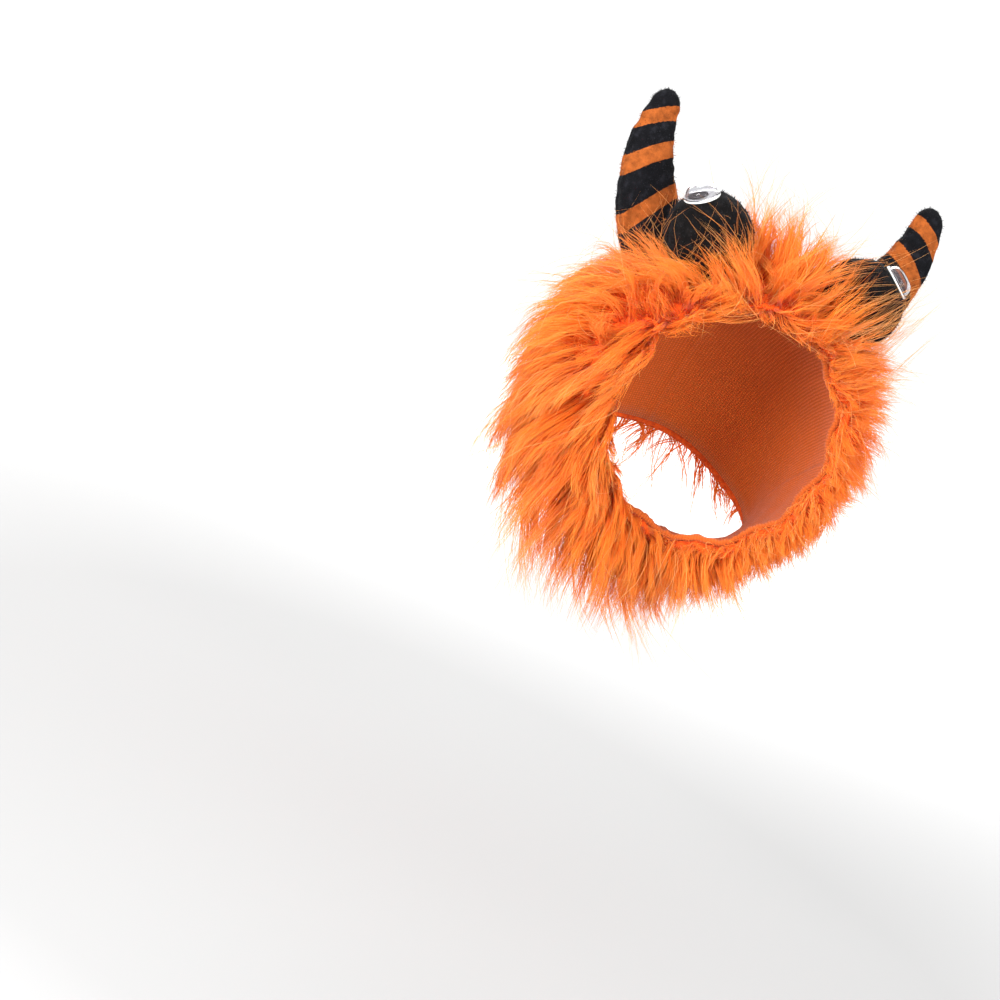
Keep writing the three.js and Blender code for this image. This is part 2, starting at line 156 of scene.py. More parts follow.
def table(columns, *rows):
    """Rows of values under named columns."""
    return [dict(zip(columns.split(), row)) for row in rows]


# The hood's form: a bent tube from the face opening over the head to the neck opening

# along runs from the face opening to the neck opening. head is the share of the head's extra size, and
# neck is the share of the way from the face opening's size to the neck opening's.
HOOD_SECTIONS = table(
    "along head neck",
    (0.0, 0.0, 0.0),
    (0.08, 0.42, 0.0),
    (0.2, 0.86, 0.03),
    (0.38, 1.0, 0.16),
    (0.58, 0.84, 0.42),
    (0.8, 0.42, 0.78),
    (1.0, 0.0, 1.0),
)


def column(rows, name):
    return np.array([row[name] for row in rows], float)


def smooth_between(rows, place, name, at):
    """A smooth curve through one column of a table, read against another."""
    places, values = column(rows, place), column(rows, name)
    slopes = np.gradient(values, places)
    at = np.clip(at, places[0], places[-1])
    index = np.clip(np.searchsorted(places, at, side="right") - 1, 0, len(places) - 2)
    width = places[index + 1] - places[index]
    t = (at - places[index]) / width
    low, high = values[index], values[index + 1]
    start, end = slopes[index] * width, slopes[index + 1] * width
    return (
        (2 * t**3 - 3 * t**2 + 1) * low
        + (t**3 - 2 * t**2 + t) * start
        + (3 * t**2 - 2 * t**3) * high
        + (t**3 - t**2) * end
    )


def straight_between(rows, place, name, at):
    return np.interp(at, column(rows, place), column(rows, name))


def smoothstep(value, low, high):
    t = np.clip((value - low) / (high - low), 0, 1)
    return t * t * (3 - 2 * t)


def unit(vectors):
    return vectors / np.maximum(np.linalg.norm(vectors, axis=-1, keepdims=True), 1e-12)


def mix(low, high, share):
    return low + (high - low) * share


# How far the fur may lap over the edge of the face opening, in mm.
FACE_LAP = 2.5


class HoodForm:
    """The inner surface of the hood, and places measured from it."""

    def __init__(self, hood):
        self.hood = hood
        self.bend_axis = np.zeros(3)
        crown_line = self.bent(np.linspace(0, 1, 401), np.full(401, math.pi / 2))
        self.bend_axis = -crown_line[np.argmax(crown_line[:, 2])]

    def section(self, along):
        hood = self.hood
        head = smooth_between(HOOD_SECTIONS, "along", "head", along)
        neck = smooth_between(HOOD_SECTIONS, "along", "neck", along)
        throat = mix(hood.throat_reach, hood.neck_throat_reach, neck)
        face_crown = hood.throat_reach + hood.face_height
        neck_crown = hood.neck_throat_reach + hood.neck_depth
        crown = mix(face_crown, neck_crown, neck) + hood.crown_rise * head
        side = mix(hood.face_width, hood.neck_width, neck) / 2
        side = side + (hood.head_width - hood.face_width) / 2 * head
        return (crown + throat) / 2, (crown - throat) / 2, side

    def bent(self, along, around, swell=0.0):
        middle, rise, side = self.section(along)
        turn = self.hood.neck_turn * along
        reach = middle + (rise + swell) * np.sin(around)
        across = (side + swell) * np.cos(around)
        points = np.stack([across, reach * np.sin(turn), reach * np.cos(turn)], -1)
        return points + self.bend_axis

    def at(self, along, around):
        """Points of the surface, their outward normals, and the direction from face to neck."""
        along, around = np.broadcast_arrays(np.asarray(along, float), np.asarray(around, float))
        step = 1e-3
        low, high = np.clip(along - step, 0, 1), np.clip(along + step, 0, 1)
        back = unit(self.bent(high, around) - self.bent(low, around))
        beside = self.bent(along, around + step) - self.bent(along, around - step)
        normal = unit(np.cross(back, beside))
        return self.bent(along, around), normal, back

    def read(self, points):
        """How far along the hood points are, and how far out of its middle line, where 1 is its wall."""
        local = points - self.bend_axis
        turn = np.arctan2(local[..., 1], local[..., 2])
        along = turn / self.hood.neck_turn
        middle, rise, side = self.section(np.clip(along, 0, 1))
        # Ahead of the face opening the tube runs on straight.
        ahead = local[..., 1] < 0
        reach = np.where(ahead, local[..., 2], np.hypot(local[..., 1], local[..., 2]))
        out = np.hypot(local[..., 0] / side, (reach - middle) / rise)
        return along, out, middle, side

    def keep_out(self, points, margin):
        """Points moved out of the hood, to a margin outside its inner surface."""
        along, out, middle, side = self.read(points)
        ahead = smoothstep(self.bend_axis[1] - points[..., 1], 0.5 * MM, 3 * MM)
        wanted = 1 + mix(margin, -FACE_LAP * MM, ahead) / side
        inside = (out < wanted) & (along < 1.03)
        grow = np.where(inside, wanted / np.maximum(out, 0.2), 1.0)
        local = points - self.bend_axis
        turn = np.maximum(np.arctan2(local[..., 1], local[..., 2]), 0)
        centre = np.stack([np.zeros_like(turn), middle * np.sin(turn), middle * np.cos(turn)], -1)
        centre[..., 1] = np.where(local[..., 1] < 0, local[..., 1], centre[..., 1])
        return centre + (local - centre) * grow[..., None] + self.bend_axis


# The horns, and the mounds that carry the eyes

# Where they stand: turn is the angle behind the face opening and around the angle up from the side, in
# degrees. stands is how far a mound's middle is off the hood, in mm, fitted so that the eye's axis is the
# one that its pupil turns about.
HORN_SEAT = {"turn": 25.5, "around": 60.0}
MOUND_SEAT = {"turn": 9.15048, "around": 62.11806, "stands": 26.62192}

# How they lean, in degrees, and how flat and how full a horn is.
HORN_LEAN = {"base": 57.0, "tip": -8.0, "back": 11.0}
EYE_LEAN = {"out": 37.0, "forward": 5.0}
HORN_FLATNESS = 0.78
HORN_FULLNESS = 1.5


class HornForm:
    """A horn's middle line, width and section."""

    def __init__(self, form, horn, side):
        self.horn = horn
        self.side = side
        along = math.radians(HORN_SEAT["turn"]) / form.hood.neck_turn
        self.seat = form.bent(along, math.radians(HORN_SEAT["around"]))
        self.base_lean = math.radians(HORN_LEAN["base"])
        self.bend = math.radians(HORN_LEAN["base"] - HORN_LEAN["tip"])

    def middle(self, share):
        share = np.asarray(share, float)
        radius = self.horn.horn_length / self.bend
        lean = self.base_lean - self.bend * share
        out = radius * (np.cos(lean) - math.cos(self.base_lean))
        up = radius * (math.sin(self.base_lean) - np.sin(lean))
        back = math.radians(HORN_LEAN["back"])
        return np.stack(
            [
                self.side * (self.seat[0] + out),
                self.seat[1] + up * math.sin(back),
                self.seat[2] + up * math.cos(back),
            ],
            -1,
        )

    def half_width(self, share):
        taper = np.power(np.clip(share, 0, 1), HORN_FULLNESS)
        return mix(self.horn.base_width, self.horn.tip_width, taper) / 2

    def axes(self, share):
        ahead = unit(self.middle(share + 0.01) - self.middle(share - 0.01))
        outward = np.array([self.side, 0.0, 0.0])
        across = unit(outward - ahead * (ahead @ outward)[..., None])
        deep = np.cross(ahead, across)
        return ahead, across, deep

    def read(self, points):
        """The share of the length that points are at, and how far across and deep, where 1 is the edge."""
        shares = np.linspace(0, 1, 300)
        share = shares[nearest(points, self.middle(shares))]
        _, across, deep = self.axes(share)
        away = (points - self.middle(share)) / self.half_width(share)[:, None]
        return share, (away * across).sum(1), (away * deep).sum(1)

    def crossing_middle(self):
        return self.middle(0.42)

    def crossing_lift(self):
        return np.array([self.side * 0.1, -0.15, 0.9])

    def keep_out(self, points, margin):
        shares = np.linspace(0, 1, 24)
        line, radii = self.middle(shares), self.half_width(shares) * 0.95
        flat = points.reshape(-1, 3)
        moved = flat.copy()
        # Only points within the horn's length of its middle can touch it.
        near = np.linalg.norm(flat - line[10], axis=1) < self.horn.horn_length
        if near.any():
            some = flat[near]
            distance = np.linalg.norm(some[:, None] - line[None], axis=2) - radii
            closest = np.argmin(distance, axis=1)
            short = np.minimum(distance[np.arange(len(some)), closest] - margin, 0)
            outward = unit(some - line[closest])
            moved[near] = some - outward * short[:, None]
        return moved.reshape(points.shape)


class EyeForm:
    """The mound's middle and the axes of what turns with the eye."""

    def __init__(self, form, eye, side):
        along = math.radians(MOUND_SEAT["turn"]) / form.hood.neck_turn
        point, normal, _ = form.at(along, math.radians(MOUND_SEAT["around"]))
        middle = point + normal * MOUND_SEAT["stands"] * MM
        self.middle = middle * np.array([side, 1, 1])
        self.radius = eye.mound_width / 2
        self.side = side
        out, forward = math.radians(EYE_LEAN["out"]), math.radians(EYE_LEAN["forward"])
        self.axis = np.array(
            [
                side * math.sin(out) * math.cos(forward),
                -math.sin(forward),
                math.cos(out) * math.cos(forward),
            ]
        )
        downhill = unit(np.array([0.0, 0.0, -1.0]) + self.axis * self.axis[2])
        self.across = np.cross(-downhill, self.axis)
        self.back = -downhill
        flat = ((eye.eye_width + 2 * MM) / eye.mound_width) ** 2
        self.seat_height = eye.mound_height / 2 * math.sqrt(1 - flat)
        self.cap_room = (eye.eye_width / 2 + 0.6 * MM, self.seat_height + eye.dome_height + 3 * MM)

    def matrix(self, height=0.0):
        columns = np.column_stack([self.across, self.back, self.axis, self.middle + self.axis * height])
        return Matrix([list(row) for row in columns] + [[0, 0, 0, 1]])

    def crossing_middle(self):
        return self.middle - self.axis * self.radius * 0.25

    def crossing_lift(self):
        return np.array([self.side * 0.15, -0.7, 0.35])

    def keep_out(self, points, margin):
        offset = points - self.middle
        distance = np.linalg.norm(offset, axis=-1, keepdims=True)
        short = np.maximum(self.radius + margin - distance, 0)
        return points + offset / np.maximum(distance, 1e-6) * short

    def in_cap(self, points):
        """Whether points are inside the googly eye's clear cap, or close to it."""
        offset = points - self.middle
        rise = offset @ self.axis
        out = np.linalg.norm(offset - rise[..., None] * self.axis, axis=-1)
        radius, top = self.cap_room
        return (out < radius) & (rise > self.seat_height - 1 * MM) & (rise < top)


# Small helpers for making and finishing pieces


def only(obj):
    """Selects one object and nothing else."""
    bpy.ops.object.select_all(action="DESELECT")
    obj.select_set(True)
    bpy.context.view_layer.objects.active = obj


def primitive(add, name, **settings):
    """One of Blender's own shapes, under a name."""
    bpy.ops.object.select_all(action="DESELECT")
    add(**settings)
    obj = bpy.context.active_object
    obj.name = name
    obj.data.name = name
    return obj


def place_points(obj, points):
    obj.data.vertices.foreach_set("co", np.ascontiguousarray(points, np.float32).ravel())
    obj.data.update()


def read_points(obj, kind="co"):
    """The places of a piece's points, or their normals."""
    values = np.zeros(len(obj.data.vertices) * 3, np.float32)
    obj.data.vertices.foreach_get(kind, values)
    return values.reshape(-1, 3).astype(float)


def add_value(obj, name, values):
    attribute = obj.data.attributes.new(name, "FLOAT", "POINT")
    attribute.data.foreach_set("value", np.ascontiguousarray(values, np.float32))


def face_outwards(obj):
    only(obj)
    bpy.ops.object.mode_set(mode="EDIT")
    bpy.ops.mesh.select_all(action="SELECT")
    bpy.ops.mesh.remove_doubles(threshold=1e-6)
    bpy.ops.mesh.normals_make_consistent(inside=False)
    bpy.ops.object.mode_set(mode="OBJECT")
    bpy.ops.object.shade_smooth()


def finish_piece(obj, material, nodes=(), body="hood"):
    obj.data.materials.clear()
    obj.data.materials.append(material)
    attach(obj, body)
    if nodes:
        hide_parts(*nodes)
    return obj


# How the cloth is filled: the solver's quality, the pressure, how much the cloth shrinks (below 0 it
# grows), and for how many frames.
FILLING = {"quality": 6, "pressure": 4, "shrink": -0.05, "frames": 20}


def stuffed(obj, voxel, held, cap):
    """Turns a shape into sewn cloth and fills it from inside. Its held points, at seams and seats, stay
    where they are, and no point moves further than the cap."""
    only(obj)
    even = obj.modifiers.new("even_cloth", "REMESH")
    even.mode = "VOXEL"
    even.voxel_size = voxel
    bpy.ops.object.modifier_apply(modifier=even.name)
    before = read_points(obj)
    scene = bpy.context.scene
    group = obj.vertex_groups.new(name="seams")
    group.add(np.flatnonzero(held(before)).tolist(), 1.0, "REPLACE")
    filling = obj.modifiers.new("filling", "CLOTH")
    filling.settings.quality = FILLING["quality"]
    filling.settings.use_pressure = True
    filling.settings.uniform_pressure_force = FILLING["pressure"]
    filling.settings.vertex_group_mass = group.name
    filling.settings.shrink_min = FILLING["shrink"]
    filling.settings.effector_weights.gravity = 0
    for step in range(1, FILLING["frames"] + 1):
        scene.frame_set(step)
    bpy.ops.object.modifier_apply(modifier=filling.name)
    moved = read_points(obj) - before
    far = np.maximum(np.linalg.norm(moved, axis=1, keepdims=True), 1e-9)
    place_points(obj, before + moved * np.minimum(1, cap / far))
    scene.frame_set(1)
    obj.vertex_groups.clear()
    rounder = obj.modifiers.new("rounder", "SUBSURF")
    rounder.levels = 1
    rounder.render_levels = 1
    bpy.ops.object.modifier_apply(modifier=rounder.name)
    bpy.ops.object.shade_smooth()


def ring_wall(name, rings, points_at):
    """A closed wall that runs round the hood, made from a torus. points_at gives the points for shares
    of the way round the hood and round the wall's own outline."""
    columns, rows = rings
    torus = {"major_segments": columns, "minor_segments": rows, "major_radius": 0.1, "minor_radius": 0.02}
    obj = primitive(bpy.ops.mesh.primitive_torus_add, name, **torus)
    index = np.arange(columns * rows)
    around, outline = (index // rows) / columns, (index % rows) / rows
    place_points(obj, points_at(around, outline))
    face_outwards(obj)
    return obj


def strands_object(name, curves, widths, tones, shades):
    """Closed three-sided strands that taper to a point, all in one mesh. curves is strand by step by
    place, and widths is how thick each step is."""
    count, steps = curves.shape[:2]
    tangents = unit(np.gradient(curves, axis=1))
    chord = unit(curves[:, -1] - curves[:, 0])
    reference = unit(np.cross(chord, np.roll(chord, 1, axis=1) + [0.3, 0.1, 0.2]))[:, None]
    first = unit(np.cross(tangents, reference))
    second = np.cross(tangents, first)
    corners = []
    for corner in range(3):
        turn = corner * 2 * math.pi / 3
        offset = first * math.cos(turn) + second * math.sin(turn)
        corners.append(curves + offset * widths[..., None] / 2)
    rings = np.stack(corners, 2)[:, :-1]
    per_strand = 3 * (steps - 1) + 1
    points = np.concatenate([rings.reshape(count, -1, 3), curves[:, -1:]], axis=1)

    quads, triangles = [], [(2, 1, 0)]
    for ring in range(steps - 2):
        for corner in range(3):
            beside = (corner + 1) % 3
            low, high = 3 * ring, 3 * ring + 3
            quads.append((low + corner, low + beside, high + beside, high + corner))
    tip = per_strand - 1
    for corner in range(3):
        triangles.append((tip - 3 + corner, tip - 3 + (corner + 1) % 3, tip))
    starts = (np.arange(count) * per_strand)[:, None, None]
    quad_corners = (starts + np.array(quads)[None]).reshape(count, -1)
    triangle_corners = (starts + np.array(triangles)[None]).reshape(count, -1)
    loops = np.concatenate([quad_corners, triangle_corners], axis=1).ravel()
    totals = np.tile([4] * len(quads) + [3] * len(triangles), count)

    mesh = bpy.data.meshes.new(name)
    mesh.vertices.add(count * per_strand)
    mesh.vertices.foreach_set("co", points.astype(np.float32).ravel())
    mesh.loops.add(len(loops))
    mesh.loops.foreach_set("vertex_index", loops.astype(np.int32))
    mesh.polygons.add(len(totals))
    mesh.polygons.foreach_set("loop_start", (np.cumsum(totals) - totals).astype(np.int32))
    mesh.polygons.foreach_set("use_smooth", np.ones(len(totals), bool))
    mesh.update(calc_edges=True)
    obj = bpy.data.objects.new(name, mesh)
    bpy.context.scene.collection.objects.link(obj)
    spread = np.concatenate([np.repeat(tones[:, :-1], 3, axis=1), tones[:, -1:]], axis=1)
    add_value(obj, "tone", spread.ravel())
    add_value(obj, "shade", np.repeat(shades, per_strand))
    return obj


# Materials


def scaled(value, share):
    return tuple(min(1, c * share) for c in value)


class Material:
    """A principled surface, and the nodes that feed it, added in a line or two each."""

    def __init__(self, name, inputs):
        self.made = bpy.data.materials.new(name)
        self.made.use_nodes = True
        self.tree = self.made.node_tree
        self.tree.nodes.clear()
        self.output = self.add("ShaderNodeOutputMaterial")
        self.surface = self.add("ShaderNodeBsdfPrincipled", inputs)
        self.fill(self.output.inputs["Surface"], self.surface.outputs[0])

    def fill(self, socket, value):
        """Feeds a socket from another node's output, or with a number or a colour."""
        if isinstance(value, bpy.types.NodeSocket):
            self.tree.links.new(value, socket)
        elif isinstance(value, (int, float)):
            socket.default_value = value
        else:
            socket.default_value = (*value, 1)

    def add(self, kind, inputs=None, **settings):
        node = self.tree.nodes.new(kind)
        for name, value in settings.items():
            setattr(node, name, value)
        for name, value in (inputs or {}).items():
            self.fill(node.inputs[name], value)
        return node

    def value(self, name):
        return self.add("ShaderNodeAttribute", attribute_name=name).outputs["Fac"]

    def ramp(self, fac, stops):
        node = self.add("ShaderNodeValToRGB", {"Fac": fac})
        elements = node.color_ramp.elements
        for _ in range(len(stops) - 2):
            elements.new(0.5)
        for element, (place, value) in zip(elements, stops):
            element.position = place
            element.color = (*value, 1)
        return node.outputs["Color"]

    def blend(self, kind, share, low, high):
        inputs = {0: share, 6: low, 7: high}
        return self.add("ShaderNodeMix", inputs, data_type="RGBA", blend_type=kind).outputs[2]

    def noise(self, scale, detail):
        place = self.add("ShaderNodeTexCoord").outputs["Object"]
        inputs = {"Scale": scale, "Detail": detail, "Vector": place}
        return self.add("ShaderNodeTexNoise", inputs).outputs["Fac"]

    def math(self, operation, first, second):
        return self.add("ShaderNodeMath", {0: first, 1: second}, operation=operation).outputs[0]

    def paint(self, colour_out):
        self.fill(self.surface.inputs["Base Color"], colour_out)

    def relief(self, height, strength, distance):
        inputs = {"Height": height, "Strength": strength, "Distance": distance}
        self.fill(self.surface.inputs["Normal"], self.add("ShaderNodeBump", inputs).outputs["Normal"])

    def mix_in(self, share, shader):
        """Shows the surface mixed with another shader."""
        inputs = {0: share, 1: self.surface.outputs[0], 2: shader.outputs[0]}
        self.fill(self.output.inputs["Surface"], self.add("ShaderNodeMixShader", inputs).outputs[0])


def fur_material(fur):
    sheen = {"Sheen Weight": 0.15, "Sheen Roughness": 0.4}
    look = Material("long_fur", {"Roughness": 0.5, "Specular IOR Level": 0.35, **sheen})
    root, middle, tip = fur.shaded_root_colour, fur.middle_colour, fur.lit_tip_colour
    # Each strand runs from the root colour, painted shade deep in the fur, through its own middle colour to
    # the tip colour, a painted glow at the tips.
    strand = look.ramp(look.value("tone"), [(0.0, root), (0.35, middle), (0.75, middle), (1.0, tip)])
    shades = [(0.0, (0.95, 0.19, 0.012)), (0.45, (1.0, 0.38, 0.045)), (1.0, (1.0, 0.6, 0.19))]
    colour_out = look.blend("MIX", 0.45, strand, look.ramp(look.value("shade"), shades))
    look.paint(colour_out)
    look.mix_in(0.58, look.add("ShaderNodeBsdfTranslucent", {"Color": colour_out}))
    return look.made


def underfur_material(fur):
    look = Material("underfur", {"Roughness": 0.9, "Specular IOR Level": 0.2})
    streaks = look.noise(420, 3)
    red, green, blue = fur.shaded_root_colour
    # The underfur is painted darker than the roots, in streaks between a shaded and a lit tone: painted
    # shade deep under the strands.
    deep = (red * 0.5, green * 0.22, blue * 0.3)
    lit = (red * 0.85, green * 0.48, blue * 0.5)
    patches = look.ramp(look.noise(28, 2), [(0.3, (0.7, 0.6, 0.6)), (0.7, (1, 1, 1))])
    look.paint(look.blend("MULTIPLY", 0.5, look.ramp(streaks, [(0.3, deep), (0.7, lit)]), patches))
    look.relief(streaks, 0.8, 0.002)
    return look.made


def knit_material(hood):
    """Brushed knit backing: fine loops in columns, a little uneven."""
    sheen = {"Sheen Weight": 0.1, "Sheen Roughness": 0.5}
    look = Material("knit_backing", {"Roughness": 0.92, "Specular IOR Level": 0.25, **sheen})
    uv = look.add("ShaderNodeUVMap", uv_map="knit").outputs["UV"]

    def wave(axis, scale, distortion, detail_scale):
        inputs = {"Vector": uv, "Scale": scale, "Distortion": distortion, "Detail": 1.0}
        inputs["Detail Scale"] = detail_scale
        settings = {"wave_type": "BANDS", "bands_direction": axis}
        return look.add("ShaderNodeTexWave", inputs, **settings).outputs["Fac"]

    height = look.math("MULTIPLY", wave("X", 190.0, 1.5, 2.0), wave("Y", 240.0, 2.5, 3.0))
    # The low places between the loops are painted darker: painted shade in the knit's valleys.
    base = look.ramp(height, [(0.0, scaled(hood.cloth, 0.6)), (0.8, hood.cloth)])
    patches = look.ramp(look.noise(30, 2), [(0.3, (0.75, 0.7, 0.7)), (0.7, (1, 1, 1))])
    look.paint(look.blend("MULTIPLY", 0.4, base, patches))
    look.relief(look.math("ADD", height, look.math("MULTIPLY", look.noise(900, 2), 0.6)), 0.6, 0.0006)
    return look.made


def plush_material(name, dark, band=None):
    """Short brushed plush. Where a band colour is given, the piece's stripe value says where it is."""
    sheen = {"Sheen Weight": 0.025, "Sheen Roughness": 0.4, "Sheen Tint": (0.75, 0.78, 0.85)}
    look = Material(name, {"Roughness": 0.95, "Specular IOR Level": 0.08, **sheen})
    mottle_and_highlights = look.noise(260, 4)
    # The pile's tone is mottled darker and lighter. Its lightest specks, up to 3.5 times the colour, are
    # painted highlights.
    colour_out = look.ramp(mottle_and_highlights, [(0.3, scaled(dark, 0.6)), (0.55, dark), (0.8, scaled(dark, 3.5))])
    # Each nap hair is painted partly grey by its random value: painted highlights on the nap.
    nap_highlight = look.math("MULTIPLY", look.value("shade"), 0.55)
    colour_out = look.blend("MIX", nap_highlight, colour_out, (0.05, 0.053, 0.06))
    if band:
        ragged = look.math("MULTIPLY", look.math("SUBTRACT", look.noise(700, 2), 0.5), 0.16)
        place = look.math("ADD", look.value("stripe"), ragged)
        share = look.ramp(place, [(0.44, (0, 0, 0)), (0.56, (1, 1, 1))])
        band_out = look.ramp(mottle_and_highlights, [(0.25, scaled(band, 0.65)), (0.8, scaled(band, 1.5))])
        colour_out = look.blend("MIX", share, colour_out, band_out)
    look.paint(colour_out)
    look.relief(look.math("ADD", look.noise(1500, 2), look.math("MULTIPLY", mottle_and_highlights, 0.7)), 0.7, 0.0007)
    return look.made


def plain_material(name, base, roughness, specular, speckle):
    look = Material(name, {"Roughness": roughness, "Specular IOR Level": specular})
    dust = look.noise(1200, 3)
    spread = tuple(max(0, c - speckle) for c in base)
    look.paint(look.ramp(dust, [(0.35, spread), (0.65, base)]))
    look.relief(dust, 0.15, 0.0001)
    return look.made


def clear_material():
    """Thin clear plastic, with dark grey painted round its edge: painted shade of the curved clear wall."""
    clear = {"Transmission Weight": 1.0, "IOR": 1.2, "Specular IOR Level": 0.5}
    look = Material("clear_cap", {"Roughness": 0.02, **clear})
    look.paint(look.ramp(look.noise(600, 2), [(0.3, (0.86, 0.86, 0.89)), (0.7, (0.92, 0.92, 0.94))]))
    rim_shade = look.add("ShaderNodeBsdfDiffuse", {"Color": (0.16, 0.14, 0.15)})
    look.mix_in(look.math("MULTIPLY", look.value("painted_rim"), 0.16), rim_shade)
    return look.made


# The knitted hood


def add_knit_map(obj, around, outline):
    """A flat map in metres of the cloth, so that the knit runs round and along the hood."""
    layer = obj.data.uv_layers.new(name="knit")
    corners = np.zeros(len(obj.data.loops), np.int32)
    obj.data.loops.foreach_get("vertex_index", corners)
    flat = np.stack([around[corners], outline[corners]], -1)
    layer.data.foreach_set("uv", flat.astype(np.float32).ravel())


GATHERS = {"count": 12, "depth": 1.6, "pleats": 60, "pleat_depth": 0.35, "reach": 0.16}
NECK_WAVES = {"count": 5, "depth": 2.6, "start": 0.7}
SEAM = {"width": 0.02, "height": 0.9}
FACE_HEM = {"reach": 0.07, "edge": 0.01, "thickness": 0.8}

# The cloth's rings, round and along, and the knit's flat size in metres, round and along.
KNIT_GRID = (240, 44)
KNIT_MAP = (0.4, 0.34)


def hood_swell(along, around):
    """The elastic's gathers at the face and the slack waves at the neck."""
    near_face = 1 - smoothstep(along, 0, GATHERS["reach"])
    gathers = GATHERS["depth"] * np.cos(GATHERS["count"] * around)
    pleats = GATHERS["pleat_depth"] * np.cos(GATHERS["pleats"] * around + 3 * np.sin(7 * around))
    near_neck = smoothstep(along, NECK_WAVES["start"], 1)
    waves = NECK_WAVES["depth"] * np.cos(NECK_WAVES["count"] * around)
    return ((gathers + pleats) * near_face + waves * near_neck) * MM


class HOOD_OT_knit(bpy.types.Operator):
    """Adds the knitted hood with its face hem, gathers and seams"""

    bl_idname = "hood.knit"
    bl_label = "Knitted hood"

    def execute(self, context):
        hood = sizes("knit")
        form = HoodForm(hood)
        columns, rows = KNIT_GRID
        half = rows / 2

        def points_at(around_share, outline):
            around = around_share * 2 * math.pi
            place = outline * rows
            inner = place < half
            along = np.where(inner, place / (half - 1), (rows - 1 - place) / (half - 1))
            along = np.clip(along, 0, 1)
            point, normal, _ = form.at(along, around)
            ridge = SEAM["height"] * np.exp(-((np.cos(around) / SEAM["width"]) ** 2))
            past_hem = smoothstep(along, FACE_HEM["reach"] - FACE_HEM["edge"], FACE_HEM["reach"])
            hem = FACE_HEM["thickness"] * (1 - past_hem)
            offset = np.where(inner, -(ridge + hem) * MM, hood.wall)
            creases = 0.5 * np.sin(9 * around + 14 * along) * np.sin(5 * along * math.pi) * MM
            return point + normal * (offset + hood_swell(along, around) + creases)[:, None]

        obj = ring_wall("knit_hood", KNIT_GRID, points_at)
        index = np.arange(columns * rows)
        around, place = (index // rows) / columns, (index % rows) / rows
        add_knit_map(obj, around * KNIT_MAP[0], np.where(place < 0.5, place, 1 - place) * KNIT_MAP[1])
        finish_piece(obj, knit_material(hood), ["hood_cloth"])
        return {"FINISHED"}


# The fur

# How the fur lies, from the inner edge of the face opening (below 0) over the hood to the neck (1). lift
# is how much it stands up, out and back are how much it sweeps away from the face and to the neck, and
# droop is how much it hangs.
FUR_LIE = table(
    "along lift out back droop",
    (-0.12, 0.35, 0.1, -0.9, 0.2),
    (-0.1, 0.4, 0.45, -0.5, 0.3),
    (-0.08, 0.45, 0.7, -0.2, 0.4),
    (-0.05, 0.45, 0.9, 0.0, 0.5),
    (0.0, 0.5, 0.7, 0.2, 0.6),
    (0.1, 0.6, 0.3, 0.4, 0.65),
    (0.3, 0.5, 0.15, 0.65, 0.6),
    (0.6, 0.38, 0.1, 0.9, 0.5),
    (1.0, 0.3, 0.1, 1.0, 0.5),
)

# How the fur differs round the face. around is in degrees from the right, over the crown, down the left
# and under the throat. length is a share of the strand length, hang is a share of the droop, turn is how
# much the fur sweeps round the face, down the left side where it is above 0, and part is how far
# neighbouring tufts part.
FUR_AROUND = table(
    "around length hang turn part",
    (0, 0.36, 1.0, -0.3, 0.4),
    (26, 0.4, 0.6, -0.3, 0.5),
    (42, 0.55, 0.2, -0.3, 0.5),
    (62, 0.62, 0.0, -0.35, 0.6),
    (80, 1.0, 0.0, -0.2, 0.6),
    (100, 0.9, 0.0, 0.1, 0.6),
    (118, 0.58, 0.2, 0.35, 0.5),
    (135, 0.75, 0.5, 0.4, 0.5),
    (165, 0.85, 0.9, 0.3, 0.6),
    (200, 1.0, 1.1, 0.2, 0.65),
    (235, 1.3, 1.2, 0.1, 0.65),
    (262, 1.05, 1.0, 0.25, 0.5),
    (285, 0.68, 0.8, 0.35, 0.4),
    (315, 0.38, 0.9, 0.1, 0.35),
    (360, 0.36, 1.0, -0.3, 0.4),
)

# How far the fur wraps over the rims, as a share of the way along the hood and in mm, how far it is off
# the cloth, and how far past the solid model's box a strand may reach, in mm.
RIM_REACH = 0.12
OVERHANG = 5.0
CLOTH_GAP = 0.3
PROUD = 11.0

# How far strands stay off the cloth and off what stands through the fur, and roots off the same, in mm.
CLEARANCE = {"cloth": 1.5, "pieces": 0.8, "roots": 0.5}

# The share of strands that go on over what stands in their way, and the places where each is tested.
GOING_ON = 0.1
MEETING_PLACES = 13
EYE_PLACES = 41

# The tufts and the finer locks that strands follow: how many, and how unevenly they sway and stretch.
TUFTS = {"count": 260, "sway": 0.55, "stretch": 0.2}
LOCKS = {"count": 2600, "sway": 0.4, "stretch": 0.18}
GUIDE_STEPS = 8

# The share of strands that stray, how far they and the others drift, in mm, and their share of the width.
STRAYS = {"share": 0.12, "drift": 7.0, "others": 1.8, "width": 0.7}


